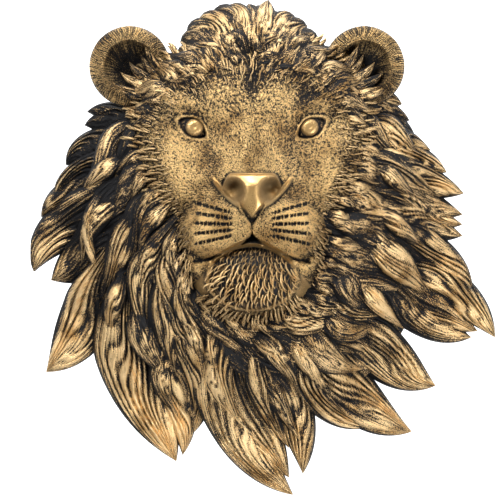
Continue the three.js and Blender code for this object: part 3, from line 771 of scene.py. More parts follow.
def carve_mound(carving):
    """The mound under the locks, with strands that run out from the middle, and its flat back."""
    spokes, rings = MOUND_SPOKES, MOUND_RINGS
    a = np.linspace(0, 2 * pi, spokes, endpoint=False)
    reach = np.linspace(0, 1, rings + 1)[1:]
    R, A = np.meshgrid(reach, a, indexing="ij")
    x = R * MOUND_HALF_WIDTH * np.cos(A)
    z = MOUND_Z + R * np.where(np.sin(A) > 0, MOUND_UP, MOUND_DOWN) * np.sin(A)
    q = A / (2 * pi) * MOUND_STRANDS + 0.8 * np.sin(A * 5 + R * 9)
    line = ridge(q)
    y = -(mound_depth(x, z) + 1.6 * (line - 0.6) * step(0.3, 0.6, R))
    top = np.stack([x, y, z], -1).reshape(-1, 3)
    rim = top[-spokes:].copy()
    rim[:, 1] = 0
    points = np.concatenate([top, rim, [[0, -MOUND_CROWN, MOUND_Z]], [[0, 0, MOUND_Z]]])
    front, back = len(points) - 2, len(points) - 1
    rows = strip_triangles(rings + 1, spokes, closed=True)
    triangles = np.concatenate([rows, fan(np.arange(spokes), front, flip=True),
                                fan(np.arange(spokes) + rings * spokes, back)])
    rise = np.concatenate([(0.1 + 0.3 * line).ravel(), np.zeros(spokes + 2)])
    strand = np.zeros((len(points), 3))
    strand[: len(top), 0] = (q * 3).ravel()
    strand[: len(top), 1] = (R * 150).ravel()
    carving.add(points, triangles, rise, strand)


FACE_HALF, FACE_FINE_HALF = 100.0, 54.0
FACE_LOW, FACE_FINE_LOW, FACE_FINE_HIGH, FACE_HIGH = -104.0, -90.0, 70.0, 116.0


def carve_face(carving, spacing):
    """The face as a fine relief, half as fine round its edge, closed at the back inside the mound."""
    coarse = spacing * 2
    left_x = np.arange(-FACE_HALF, -FACE_FINE_HALF - 0.5, coarse)
    middle_x = np.arange(-FACE_FINE_HALF, FACE_FINE_HALF + 0.1, spacing)
    xs = np.concatenate([left_x, middle_x, -left_x[::-1]])
    low_z = np.arange(FACE_LOW, FACE_FINE_LOW - 0.5, coarse)
    middle_z = np.arange(FACE_FINE_LOW, FACE_FINE_HIGH + 0.1, spacing)
    zs = np.concatenate([low_z, middle_z, np.arange(FACE_FINE_HIGH + 1, FACE_HIGH, coarse)])
    Z, X = np.meshgrid(zs, xs, indexing="ij")
    depth = np.maximum(face_depth(X, Z), 2)
    rows, columns = X.shape
    points = np.stack([X, -depth, Z], -1).reshape(-1, 3)
    first = np.arange(columns)
    last = first + (rows - 1) * columns
    left = np.arange(rows) * columns
    right = left + columns - 1
    rim = np.concatenate([first, right[1:], last[::-1][1:], left[::-1][1:-1]])
    back = points[rim].copy()
    back[:, 1] = -1
    n = len(points)
    ring = np.arange(len(rim)) + n
    sides = np.concatenate([
        np.stack([rim, np.roll(rim, -1), np.roll(ring, -1)], -1)[:, ::-1],
        np.stack([rim, np.roll(ring, -1), ring], -1)[:, ::-1],
    ])
    all_points = np.concatenate([points, back, [[0, -1, MOUND_Z]]])
    back_triangles = fan(ring, len(all_points) - 1, flip=True)
    triangles = np.concatenate([strip_triangles(rows, columns), sides, back_triangles])
    smooth, fur, net, rise = face_paint(X, Z, depth)
    spare = np.zeros(len(all_points) - n)
    strand = np.zeros((len(all_points), 3))
    strand[:n, 0] = (np.arctan2(np.abs(X), Z - 3) * 45).ravel()
    strand[:n, 1] = (np.hypot(X, Z - 3) * 9).ravel()
    strand[:n, 2] = np.where(X > 0, 4, 0).ravel()
    carving.add(all_points, triangles, np.concatenate([rise.ravel(), spare]), strand,
                *(np.concatenate([share.ravel(), spare]) for share in (smooth, fur, net)))


def smoothed(grid, turns):
    """The grid after each cell has a number of times become the mean of its four neighbours."""
    for _ in range(turns):
        grid = (np.roll(grid, 1, 0) + np.roll(grid, -1, 0) + np.roll(grid, 1, 1) + np.roll(grid, -1, 1)) / 4
    return grid


def cavity(depth):
    """How far each point of the face lies below what is round it, near by and farther off."""
    fine = smoothed(depth, 3)
    broad = smoothed(fine, 13)
    return np.clip((depth - fine) * 0.5 + (depth - broad) * 0.1, -0.6, 0.2)


def from_face(x, z):
    """How far out of the face a point lies, as a share of the face's reach in its direction."""
    dx, dz = x - MANE_CENTRE[0], z - MANE_CENTRE[1]
    return np.hypot(dx, dz) / np.vectorize(face_reach)(np.degrees(np.arctan2(dx, dz)))


def face_paint(x, z, depth):
    """Where the face is polished, has short fur or the chin's netted fur, and how bright its gold is, with
    painted shade and painted light in it.
    """
    ax = np.abs(x)
    r, dx, dz = eye_frame(ax, z)
    off = from_iris(dx, dz)
    iris = step(IRIS + 0.3, IRIS - 0.3, off)
    white = step(1.12, 1.0, r) * (1 - iris)
    lid = step(1.4, 1.26, r) * (1 - step(1.12, 1.0, r))
    top, wing = step(1.6, -0.4, z - nose_top(ax)), step(5.0, 3.4, z - wing_line(ax)) * step(30.5, 28.5, ax)
    foot = np.where(ax < 8.4, np.minimum(wing_line(ax), nose_foot(ax) + 1.5), wing_line(ax))
    nose = step(-2.8, -1.2, z - foot) * np.maximum(top, wing)
    lip, low = mouth_line(ax), lower_lip(ax)
    lips = step(2.8, 1.8, np.abs(z - low)) * step(36, 30, ax)
    between = step(1.0, -1.0, z - lip) * step(-1.5, 0.5, z - low) * step(30, 24, ax)
    corner = step(0.5, -2, z - lip) * step(0, -2, z - low)
    corner = corner * step(1.12, 1.2, chin_share(ax, z)) * step(54, 48, ax)
    polish = np.maximum.reduce([0.9 * iris, 0.3 * lid, nose, lips, corner * 0.6, chin_rim(ax, z) * 0.3])
    polish = np.clip(polish, 0, 1)
    shadow = 0.68 + 0.22 * step(4, 11, z) - 0.58 * NOSTRIL_FLOOR.swell(ax, z)
    hollow = shadow * nostril_share(ax, z) ** 0.35
    cleft = np.maximum(0.8 * cleft_share(ax, z), 0.5 * under_nose(ax, z))
    ring = band(off - IRIS - 0.9, 1.3)
    pupil = 0.45 * iris * step(2.5, IRIS, off)
    # Painted shade on the eyeball round the iris, kept off the inner corner, and a painted shadow line under
    # the upper lid
    socket = white * (0.35 + 0.65 * ring) * step(-7.5, -4.5, dx)
    lid_shadow = 0.9 * band(r - 1.02, 0.08) * step(-1, 3, dz)
    dark = np.maximum.reduce([hollow, pupil, cleft, socket, lid_shadow, between, whisker_rows(ax, z)])
    out = step(0.8, 1.05, from_face(x, z))
    # Less gold in the face's hollows: the black that the finish leaves there, with painted shade over it;
    # darker towards the face's edge and down the forehead's furrow
    rise = 0.53 + cavity(depth) - 0.2 * out - 0.9 * dark - 0.17 * band(x, 7) * step(66, 84, z)
    rise = rise - BROW_SHADE.swell(ax, z) - EYE_CORNER_SHADE.swell(ax, z)
    rise = rise - 0.11 * step(58, 76, z) + LIP_PAD_LIGHT.swell(ax, z)
    net = step(1.04, 0.96, chin_share(ax, z)) * step(-1.5, -3.5, z - low)
    rise = rise - 0.3 * net
    polish = polish * (1 - dark)
    return polish, (1 - np.maximum(polish, white)) * (1 - net), net, np.clip(rise, 0, 1)


EAR_X, EAR_Z, EAR_RADIUS, EAR_HALF_DEPTH, EAR_DEPTH, EAR_WALL = 93.0, 105.0, 32.0, 20.0, 34.0, 11.5
EAR_SHIFT, EAR_BOWL_SHIFT, EAR_BOWL, EAR_RIM = -4.0, 3.0, 12.0, 0.78
EAR_SPOKES, EAR_HAIRS = 380, 110


def ear_stations():
    """From the ear's back over its rim into its bowl: radius, depth, shift of the bowl and amount of fur."""
    inner = EAR_RADIUS - EAR_WALL
    stations = []
    for s in np.linspace(0, 1, 12)[1:]:
        a = s * pi / 2
        stations.append((EAR_RADIUS * sin(a), EAR_DEPTH - EAR_HALF_DEPTH * cos(a), 0.0, 0.15))
    for s in np.linspace(0, 1, 22)[1:]:
        r = lerp(EAR_RADIUS, inner, s)
        d = EAR_DEPTH + EAR_HALF_DEPTH * np.sqrt(max(1 - (r / EAR_RADIUS) ** 2, 0)) * EAR_RIM
        stations.append((r, d, 0.3 * s, 1.0))
    for s in np.linspace(0, 1, 20)[1:-1]:
        r = inner * (1 - s)
        d = EAR_DEPTH + EAR_BOWL - EAR_HALF_DEPTH * np.sqrt(max(1 - (r / inner) ** 2, 0))
        stations.append((r, d, lerp(0.3, 1, step(0, 0.4, s)), lerp(0.8, 0.35, step(0, 0.5, s))))
    return (np.array(v)[:, None] for v in zip(*stations))


def carve_ear(carving, side):
    """A round ear: a bowl with a thick rim of short fur."""
    radius, depth, shift, furry = ear_stations()
    a = np.linspace(0, 2 * pi, EAR_SPOKES, endpoint=False)[None, :]
    q = a / (2 * pi) * EAR_HAIRS + 0.7 * np.sin(radius * 0.35 + a * 3) + radius * 0.09
    line, own = ridge(q), ridge_height(q, 5)
    puff = furry * (1.0 * (line - 0.7) + 1.1 * (own - 0.5))
    middle_x = side * EAR_X + EAR_SHIFT
    x = middle_x - side * EAR_BOWL_SHIFT * shift + (radius + puff * 0.4) * np.cos(a)
    z = EAR_Z - EAR_BOWL_SHIFT * shift + (radius + puff * 0.4) * np.sin(a)
    y = -(depth + puff * (radius < EAR_RADIUS - 0.01))
    back = [middle_x, -(EAR_DEPTH - EAR_HALF_DEPTH), EAR_Z]
    bowl_x = side * (EAR_X - EAR_BOWL_SHIFT) + EAR_SHIFT
    bowl = [bowl_x, -(EAR_DEPTH + EAR_BOWL - EAR_HALF_DEPTH), EAR_Z - EAR_BOWL_SHIFT]
    points = np.concatenate([np.stack([x, y, z], -1).reshape(-1, 3), [back, bowl]])
    n = x.size
    ring = np.arange(EAR_SPOKES)
    triangles = np.concatenate([strip_triangles(len(radius), EAR_SPOKES, closed=True),
                                fan(ring, n, flip=True), fan(ring + n - EAR_SPOKES, n + 1)])
    rise = np.clip(furry * (0.34 + 0.2 * line) - 0.08, 0, 1)
    strand = np.zeros((len(points), 3))
    strand[:n, 0] = (q * 2.4).ravel()
    strand[:n, 1] = np.repeat(radius.ravel() * 2, EAR_SPOKES)
    carving.add(points, triangles, np.concatenate([rise.ravel(), [0, 0]]), strand,
                fur=np.full(len(points), 0.85))


EAR_TUFTS = [
    (66, 92, 60, 88, 114, 20, 10),
    (68, 88, 70, 97, 108, 30, 12),
    (70, 84, 78, 104, 100, 45, 12),
    (76, 80, 84, 110, 92, 40, 12),
    (70, 98, 40, 84, 122, 10, 9),
]
EAR_TUFT_STYLE = LockStyle(6)


def carve_ear_tufts(carving, side):
    """Locks at the front of an ear, planned like the mane's for the ear at the right."""
    for i, (rx, rz, leave, tx, tz, arrive, width) in enumerate(EAR_TUFTS):
        carve_lock(carving, (side * rx, rz), side * leave, (side * tx, tz), side * arrive, width,
                   EAR_TUFT_STYLE, lambda x, z, t: 46 - 8 * t, seed=200 + i * 2.9 + side)


def carve_ears(carving):
    for side in (-1, 1):
        carve_ear(carving, side)
        carve_ear_tufts(carving, side)


# How deep each place lies among the hair around it, for the hair's painted shade

CELL, CELLS, CELL_CORNER, SMOOTHINGS = 3.0, 160, (-215.0, -265.0), 10
CARVERS = (carve_mound, carve_outer_mane, carve_rings, carve_top_locks, carve_cheek_locks, carve_crest,
           carve_forelocks, partial(carve_face, spacing=2.0))
CROSS = ((0, 0), (1, 0), (-1, 0), (1, 1), (-1, 1))
DEEP_SHADE, DEEPEST, PROUDEST = 0.07, -0.5, 0.4


def to_cells(points):
    return ((points[:, axis] - corner) / CELL for axis, corner in zip((0, 2), CELL_CORNER))


@lru_cache
def hair_surface():
    """The depth of the hair and face on a grid of cells, smoothed over what is round each."""
    hair = Carving()
    for carve in CARVERS:
        carve(hair)
    points = np.concatenate(hair.points)
    column, row = (place.astype(int) for place in to_cells(points))
    depth = np.zeros((CELLS, CELLS))
    np.maximum.at(depth, (row, column), -points[:, 1])
    filled = (depth > 0).astype(float)
    for _ in range(SMOOTHINGS):
        depth, filled = (sum(np.roll(grid, *way) for way in CROSS) / 5 for grid in (depth, filled))
    return depth / np.maximum(filled, 0.01)


def shade_hair(carving):
    """Takes gold off hair that lies deep among the hair round it, as painted shade, and adds it as painted
    light where hair stands proud, low down or at the right.
    """
    points = np.concatenate(carving.points)
    u, v = (place - 0.5 for place in to_cells(points))
    column, row = u.astype(int), v.astype(int)
    across, up = u - column, v - row
    surface = hair_surface()
    low = lerp(surface[row, column], surface[row, column + 1], across)
    high = lerp(surface[row + 1, column], surface[row + 1, column + 1], across)
    proud = -points[:, 1] - lerp(low, high, up)
    x, z = points[:, 0], points[:, 2]
    # Painted light: the hair gets more gold low down and at the right, and less at the left from the middle
    # up
    painted_light = 0.09 * step(-60, -150, z) + 0.11 * step(50, 120, x) - 0.1 * step(-70, -110, x) * step(-50, 0, z)
    # Painted shade where hair lies below the hair round it, and painted light where it stands proud
    shade = np.clip(proud * DEEP_SHADE, DEEPEST, PROUDEST)
    carving.rise = [np.concatenate(carving.rise) + shade + painted_light]


# Small tufts that repeat: round the face and under the chin

class TuftSpot(NamedTuple):
    """Where a tuft stands, where it points and how big it is."""
    x: float
    z: float
    direction: float
    size: float


SLOPE_REACH = 4.0


def surface_turn(x, z, direction, lift):
    """The depth of the head, and the turn of a tuft that lies along a direction, tipped up by a lift."""
    reach = SLOPE_REACH
    dx, dz = heading(direction)
    here = float(head_depth(np.array([x]), np.array([z]))[0])
    there = float(head_depth(np.array([x + dx * reach]), np.array([z + dz * reach]))[0])
    slope = np.clip((there - here) / reach, -1.2, 0.6) + np.tan(radians(lift))
    forward = np.array([dx, -slope, dz])
    forward /= np.linalg.norm(forward)
    side = np.cross(forward, [0, -1, 0])
    side /= np.linalg.norm(side)
    turned = np.stack([side, forward, np.cross(side, forward)], -1)
    return here, tuple(Matrix(turned.tolist()).to_euler())


FRINGE_ROWS, FRINGE_TUFTS = 9, 132
BEARD_ROWS, BEARD_TUFTS = 5, 26
CHIN_ROWS, CHIN_SPACING = 9, 3.6


def row_share(row, i, count):
    """How far along its row a tuft stands, where every other row is shifted by half a tuft."""
    return (i + 0.5 * (row % 2)) / count


def fringe_spots(rng):
    """Rows of tufts where the short fur of the face passes into the mane."""
    spots = []
    for row in range(FRINGE_ROWS):
        outward = row / (FRINGE_ROWS - 1)
        for i in range(FRINGE_TUFTS):
            at = -180 + 360 * (i + 0.5 * (row % 2)) / FRINGE_TUFTS
            jitter = rng.uniform(-1, 1, 4)
            reach = face_reach(at) * (lerp(0.9, 1.24, outward) + 0.03 * jitter[1])
            x, z = around(at + 1.6 * jitter[0], reach)
            if abs(x) < 46 and z < -30:
                continue
            size = lerp(0.35, 1.2, outward) * (1 + 0.25 * jitter[3])
            spots.append(TuftSpot(x, z, at + sweep_at(at) * 1.2 + 14 * jitter[2], size))
    return spots


def beard_spots(rng):
    """Rows of tufts that hang under the chin."""
    spots = []
    for row in range(BEARD_ROWS):
        for i in range(BEARD_TUFTS):
            jitter = rng.uniform(-1, 1, 4)
            at = lerp(118, 242, row_share(row, i, BEARD_TUFTS - 0.5)) + 1.5 * jitter[0]
            reach = 1.12 + 0.11 * row + 0.03 * jitter[1]
            x = CHIN.half_width * reach * sin(radians(at))
            z = CHIN.z + CHIN.half_height * reach * cos(radians(at))
            spots.append(TuftSpot(x, z, at + 16 * jitter[2], 0.8 + 0.08 * row + 0.15 * jitter[3]))
    return spots


def chin_spots(rng):
    """Rows of thin wavy hairs over the chin, upright in the middle and spread at the sides."""
    spots = []
    for row in range(CHIN_ROWS):
        z = CHIN.z + CHIN.half_height * lerp(0.86, -0.72, row / (CHIN_ROWS - 1))
        half = CHIN.half_width * np.sqrt(max(1 - ((z - CHIN.z) / CHIN.half_height) ** 2, 0.05)) * 0.95
        count = max(5, round(half * 2 / CHIN_SPACING))
        for i in range(count):
            jitter = rng.uniform(-1, 1, 4)
            x = lerp(-half, half, row_share(row, i, max(count - 0.5, 1))) + 0.7 * jitter[0]
            size = lerp(0.45, 0.8, min(row / 3, 1)) * (1 + 0.2 * jitter[3])
            spots.append(TuftSpot(x, z + 1.2 * jitter[1], 180 - x * 1.3 + 20 * jitter[2], size))
    return spots


TUFT_SOCKETS = {"Geometry": "Geometry", "Tuft": "Object", "Size": "Float", "Size Variation": "Float",
                "Seed": "Int", "Material": "Material"}


def tuft_tree():
    """Sets the tuft pattern on each point, turned and sized by the point's own attributes."""
    tree = bpy.data.node_groups.new("tufts_on_points", "GeometryNodeTree")
    for name, kind in TUFT_SOCKETS.items():
        tree.interface.new_socket(name, in_out="INPUT", socket_type="NodeSocket" + kind)
    tree.interface.new_socket("Geometry", in_out="OUTPUT", socket_type="NodeSocketGeometry")

    def made(kind, **settings):
        node = tree.nodes.new(kind)
        for key, value in settings.items():
            setattr(node, key, value)
        return node

    given, out = made("NodeGroupInput"), made("NodeGroupOutput")
    tuft = made("GeometryNodeObjectInfo")
    turn = made("GeometryNodeInputNamedAttribute", data_type="FLOAT_VECTOR")
    size = made("GeometryNodeInputNamedAttribute", data_type="FLOAT")
    turn.inputs["Name"].default_value = "turn"
    size.inputs["Name"].default_value = "size"
    low, high = made("ShaderNodeMath", operation="SUBTRACT"), made("ShaderNodeMath", operation="ADD")
    low.inputs[0].default_value = high.inputs[0].default_value = 1.0
    varied = made("FunctionNodeRandomValue", data_type="FLOAT")
    scaled, whole = made("ShaderNodeMath", operation="MULTIPLY"), made("ShaderNodeMath", operation="MULTIPLY")
    place, real = made("GeometryNodeInstanceOnPoints"), made("GeometryNodeRealizeInstances")
    paint = made("GeometryNodeSetMaterial")
    for source, name, target, socket in (
            (given, "Tuft", tuft, "Object"),
            (given, "Size Variation", low, 1),
            (given, "Size Variation", high, 1),
            (low, 0, varied, 2),
            (high, 0, varied, 3),
            (given, "Seed", varied, "Seed"),
            (size, "Attribute", scaled, 0),
            (given, "Size", scaled, 1),
            (scaled, 0, whole, 0),
            (varied, 1, whole, 1),
            (given, "Geometry", place, "Points"),
            (tuft, "Geometry", place, "Instance"),
            (turn, "Attribute", place, "Rotation"),
            (whole, 0, place, "Scale"),
            (place, "Instances", real, "Geometry"),
            (real, "Geometry", paint, "Geometry"),
            (given, "Material", paint, "Material"),
            (paint, "Geometry", out, "Geometry")):
        tree.links.new(source.outputs[name], target.inputs[socket])
    return tree


def tuft_pattern(name, length, width, height, bend, bright):
    """A small tuft or hair at the origin that points along +Y with its crown towards +Z."""
    carving = Carving()
    style = LockStyle(height, strand_rise=0.3, bright=bright)
    carve_lock(carving, (0, 0), bend, (length * 0.08, length), -bend * 1.5, width, style,
               lambda x, z, t: -0.6 + 1.6 * np.sin(pi * t * 0.9), seed=7)
    points = carving.points[0]
    carving.points[0] = np.stack([points[:, 0], points[:, 2], -points[:, 1]], -1)
    return carving.mesh(name, within=False)


def set_on_points(context, name, spots, pattern, lift):
    """The pattern set on each spot by Geometry Nodes, as one mesh."""
    sizes = context.scene.mask_sizes
    places, turns = [], []
    for spot in spots:
        depth, turned = surface_turn(spot.x, spot.z, spot.direction, lift)
        places.append((spot.x * MM, -depth * MM, spot.z * MM))
        turns.append(turned)
    points = bpy.data.meshes.new(name + "_points")
    points.from_pydata(places, [], [])
    turn = points.attributes.new("turn", "FLOAT_VECTOR", "POINT")
    turn.data.foreach_set("vector", np.array(turns).ravel())
    size = points.attributes.new("size", "FLOAT", "POINT")
    size.data.foreach_set("value", np.array([spot.size for spot in spots]))
    carrier = bpy.data.objects.new(name + "_points", points)
    model = bpy.data.objects.new(name + "_pattern", pattern)
    for helper in (carrier, model):
        context.collection.objects.link(helper)
    modifier = carrier.modifiers.new("tufts", "NODES")
    modifier.node_group = tuft_tree()
    values = {"Tuft": model, "Size": sizes.tuft_size, "Size Variation": sizes.tuft_variation,
              "Seed": sizes.seed, "Material": finish_material()}
    for item in modifier.node_group.interface.items_tree:
        if item.in_out == "INPUT" and item.name in values:
            modifier[item.identifier] = values[item.name]
    context.view_layer.update()
    mesh = bpy.data.meshes.new_from_object(carrier.evaluated_get(context.evaluated_depsgraph_get()))
    carrier.modifiers.remove(modifier)
    for helper in (carrier, model):
        bpy.data.objects.remove(helper)
    if not mesh.polygons:
        raise RuntimeError(name + " came out empty")
    mesh.name = name
    return mesh


# Paint

class Wire:
    """A shader socket with arithmetic: an expression on wires adds its Math nodes."""

    def __init__(self, tree, socket):
        self.tree, self.socket = tree, socket

    def node(self, kind, settings=None, **values):
        """Adds a node with its settings and socket values, by name or number, and returns its output."""
        made = self.tree.nodes.new(kind)
        for key, value in (settings or {}).items():
            setattr(made, key, value)
        for key, value in values.items():
            numbered = key[0] == "i" and key[1:].isdigit()
            spot = made.inputs[int(key[1:]) if numbered else key.replace("_", " ")]
            if isinstance(value, Wire):
                self.tree.links.new(value.socket, spot)
            else:
                spot.default_value = value
        return Wire(self.tree, made.outputs[0])

    def math(self, operation, other):
        return self.node("ShaderNodeMath", {"operation": operation}, i0=self, i1=other)

    def __add__(self, other):
        return self.math("ADD", other)

    __radd__ = __add__

    def __sub__(self, other):
        return self.math("SUBTRACT", other)

    def __rsub__(self, other):
        return self.node("ShaderNodeMath", {"operation": "SUBTRACT"}, i0=other, i1=self)

    def __mul__(self, other):
        return self.math("MULTIPLY", other)

    __rmul__ = __mul__

    def between(self, low, high):
        """Nought below low, one above high, and smooth from one to the other."""
        return self.node("ShaderNodeMapRange", {"interpolation_type": "SMOOTHSTEP"}, Value=self, From_Min=low,
                         From_Max=high)


def attribute(tree, name):
    node = tree.nodes.new("ShaderNodeAttribute")
    node.attribute_type, node.attribute_name = "GEOMETRY", name
    return Wire(tree, node.outputs["Fac"]), Wire(tree, node.outputs["Vector"])


def mix_color(share, dark, light):
    mixed = share.tree.nodes.new("ShaderNodeMix")
    mixed.data_type = "RGBA"
    share.tree.links.new(share.socket, mixed.inputs[0])
    for socket, value in ((mixed.inputs[6], dark), (mixed.inputs[7], light)):
        if isinstance(value, Wire):
            share.tree.links.new(value.socket, socket)
        else:
            socket.default_value = value
    return Wire(share.tree, mixed.outputs[2])


STREAK_STRETCH = (0.8, 0.045, 1.0)
NET_CELLS = (380.0, 40.0, 150.0)
PATCHES = 42.0
RELIEF = 0.0012


def antique_gold(finish):
    """Black paint with gold brushed over what stands proud: streaks on the hair, speckle on short fur."""
    made = bpy.data.materials.new(PAINT)
    made.use_nodes = True
    tree = made.node_tree
    tree.nodes.clear()
    rise, polish, fur, net = (attribute(tree, key)[0] for key in SHARES)
    strand = attribute(tree, "strand")[1]
    place = Wire(tree, tree.nodes.new("ShaderNodeTexCoord").outputs["Object"])

    def noise(where, scale, detail, roughness):
        return where.node("ShaderNodeTexNoise", Vector=where, Scale=scale, Detail=detail, Roughness=roughness)

    streaks = noise(strand.node("ShaderNodeMapping", Vector=strand, Scale=STREAK_STRETCH), 1.0, 3.0, 0.6)
    speckle = noise(place, 1 / finish.fur_grain, 2.0, 0.55)
    specks = noise(place, 1 / finish.hair_grain, 1.0, 0.5)
    patches = noise(place, PATCHES, 3.0, 0.6)
    cells = place.node("ShaderNodeMapping", Vector=place, Scale=NET_CELLS)
    edges = place.node("ShaderNodeTexVoronoi", {"feature": "DISTANCE_TO_EDGE"}, Vector=cells, Scale=1.0)
    netted = 1.0 - (edges + (speckle - 0.5) * 0.12).between(0.03, 0.11)

    grain = fur * (speckle * 0.5 + streaks * 0.5) + (1.0 - fur) * (streaks * 0.45 + specks * 0.55)
    brushed = rise + (grain - 0.5) * (fur * 0.2 + 2.8) + (patches - 0.5) * 0.5
    gold = brushed.between(0.36, 0.6) * (1.0 - fur) + brushed.between(0.22, 0.72) * fur
    gold = gold * (1.0 - net) + netted * net * 0.3
    gold = gold.math("MAXIMUM", polish * (patches * 0.5 + 0.72).math("MINIMUM", 1.0))

    smooth = fur.math("MAXIMUM", polish)
    bright = mix_color(smooth, (*finish.hair_gold, 1.0), (*finish.bright_gold, 1.0))
    # Paler gold where the gold lies thick, and as a painted highlight on what stands proud
    proud = smooth.math("MAXIMUM", rise.between(0.2, 0.75))
    thick_gold_and_highlight = patches.between(0.25, 0.6) * (1.0 - polish * 0.6) * (proud * 0.7 + 0.3)
    tone = mix_color(thick_gold_and_highlight, (*finish.deep_gold, 1.0), bright)
    color = mix_color(gold, (*finish.black, 1.0), tone)
    rough = 0.6 - gold * 0.24 - polish * 0.08 + (grain - 0.5) * 0.15
    height = fur * grain.between(0.35, 0.65) * 0.8 + (1.0 - fur) * grain * 0.9
    height = height * (1.0 - polish * 0.97) * (1.0 - net) + netted * net
    bump = place.node("ShaderNodeBump", Height=height, Distance=RELIEF, Strength=1.0)
    shader = place.node("ShaderNodeBsdfPrincipled", Base_Color=color, Metallic=gold * 0.85, Roughness=rough,
                        Normal=bump, Specular_IOR_Level=0.25)
    out = tree.nodes.new("ShaderNodeOutputMaterial")
    tree.links.new(shader.socket, out.inputs["Surface"])
    made.diffuse_color = (*finish.bright_gold, 1.0)
    return made


def matte(name, color, glow):
    """Plain paint that glows a little by itself."""
    made = bpy.data.materials.new(name)
    made.use_nodes = True
    shader = made.node_tree.nodes["Principled BSDF"]
    for key, value in (("Base Color", (*color, 1.0)), ("Roughness", 0.9), ("Specular IOR Level", 0.2),
                       ("Emission Color", (*color, 1.0)), ("Emission Strength", glow)):
        shader.inputs[key].default_value = value
    return made


# Settings

class MaskSizes(bpy.types.PropertyGroup):
    face_spacing: bpy.props.FloatProperty(
        name="Face spacing", description="Distance between the points of the face's relief", default=0.00075,
        min=0.0006, max=0.004, unit="LENGTH")
    tuft_size: bpy.props.FloatProperty(
        name="Tuft size", description="Size of the small tufts as a share of their pattern", default=1.0,
        min=0.3, max=2.0, subtype="FACTOR")
    tuft_variation: bpy.props.FloatProperty(
        name="Tuft variation", description="How much the small tufts differ in size", default=0.22,
        min=0.0, max=0.9, subtype="FACTOR")
    seed: bpy.props.IntProperty(name="Seed", description="Seed of the small tufts", default=4)


class MaskFinish(bpy.types.PropertyGroup):
    black: bpy.props.FloatVectorProperty(
        name="Black", description="Base paint in the hollows", default=(0.004, 0.004, 0.005), subtype="COLOR")
    deep_gold: bpy.props.FloatVectorProperty(
        name="Deep gold", description="Gold where it is thin", default=(0.42, 0.24, 0.08), subtype="COLOR")
    bright_gold: bpy.props.FloatVectorProperty(
        name="Bright gold", description="Gold where it is thick", default=(0.86, 0.58, 0.25), subtype="COLOR")
    hair_gold: bpy.props.FloatVectorProperty(
        name="Hair gold", description="Gold on the locks, paler than on the face", default=(0.90, 0.65, 0.34),
        subtype="COLOR")
    hair_grain: bpy.props.FloatProperty(
        name="Hair grain", description="Size of the specks in the brushed gold on the long hair",
        default=0.0007, min=0.0003, max=0.003, precision=4, unit="LENGTH")
    fur_grain: bpy.props.FloatProperty(
        name="Fur grain", description="Size of the speckle on the short fur", default=0.0010, unit="LENGTH")


class StudioSizes(bpy.types.PropertyGroup):
    camera_distance: bpy.props.FloatProperty(
        name="Camera distance", description="From the wall to the camera", default=1.5, unit="LENGTH")
    view_height: bpy.props.FloatProperty(
        name="View height", description="Height that the picture takes in at the wall", default=0.4055,
        unit="LENGTH")
    wall_gap: bpy.props.FloatProperty(
        name="Wall gap", description="From the mask's back to the backdrop", default=0.35, unit="LENGTH")
    wall_color: bpy.props.FloatVectorProperty(
        name="Wall colour", description="Pale backdrop", default=(0.93, 0.93, 0.93), subtype="COLOR")


# Pieces

def finish_material():
    """The mask's paint, which all the pieces share."""
    found = bpy.data.materials.get(PAINT)
    return found or antique_gold(bpy.context.scene.mask_finish)


def add_piece(name, mesh):
    """Puts a finished mesh in the scene as a piece of the mask."""
    mesh.materials.clear()
    mesh.materials.append(finish_material())
    piece = bpy.data.objects.new(name, mesh)
    bpy.context.collection.objects.link(piece)
    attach(piece, "root")
    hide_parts(NODE)


def carve_piece(name, *carvers, hair=True):
    """Carves a piece of the mask, shades it where it is hair, and puts it in the scene."""
    carving = Carving()
    for carve in carvers:
        carve(carving)
    if hair:
        shade_hair(carving)
    add_piece(name, carving.mesh(name))
    return {"FINISHED"}


def set_tufts(context, name, rows, pattern, lift):
    """Makes a piece of the mask of tufts that stand in rows."""
    rng = np.random.default_rng(context.scene.mask_sizes.seed)
    spots = [spot for row in rows for spot in row(rng)]
    add_piece(name, set_on_points(context, name, spots, pattern, lift))
    return {"FINISHED"}


class MASK_OT_face(bpy.types.Operator):
    """Carve the face and the mound that it stands in"""
    bl_idname = "lion_mask.face"
    bl_label = "Face"

    def execute(self, context):
        fine_face = partial(carve_face, spacing=context.scene.mask_sizes.face_spacing / MM)
        return carve_piece("face", carve_mound, fine_face, hair=False)


class MASK_OT_outer_mane(bpy.types.Operator):
    """Carve the long locks at the mask's outline"""
    bl_idname = "lion_mask.outer_mane"
    bl_label = "Outer mane"

    def execute(self, context):
        return carve_piece("outer_mane", carve_outer_mane)


class MASK_OT_inner_mane(bpy.types.Operator):
    """Carve the rings of locks round the face, and the locks that lie over them"""
    bl_idname = "lion_mask.inner_mane"
    bl_label = "Inner mane"

    def execute(self, context):
        return carve_piece("inner_mane", carve_rings, carve_top_locks)


class MASK_OT_cheek_locks(bpy.types.Operator):
    """Carve the narrow locks at the edge of the face"""
    bl_idname = "lion_mask.cheek_locks"
    bl_label = "Cheek locks"

    def execute(self, context):
        return carve_piece("cheek_locks", carve_cheek_locks)


class MASK_OT_crest(bpy.types.Operator):
    """Carve the crest and the forelocks"""
    bl_idname = "lion_mask.crest"
    bl_label = "Crest"

    def execute(self, context):
        return carve_piece("crest", carve_crest, carve_forelocks)


class MASK_OT_ears(bpy.types.Operator):
    """Carve the ears and the tufts in them"""
    bl_idname = "lion_mask.ears"
    bl_label = "Ears"

    def execute(self, context):
        return carve_piece("ears", carve_ears, hair=False)


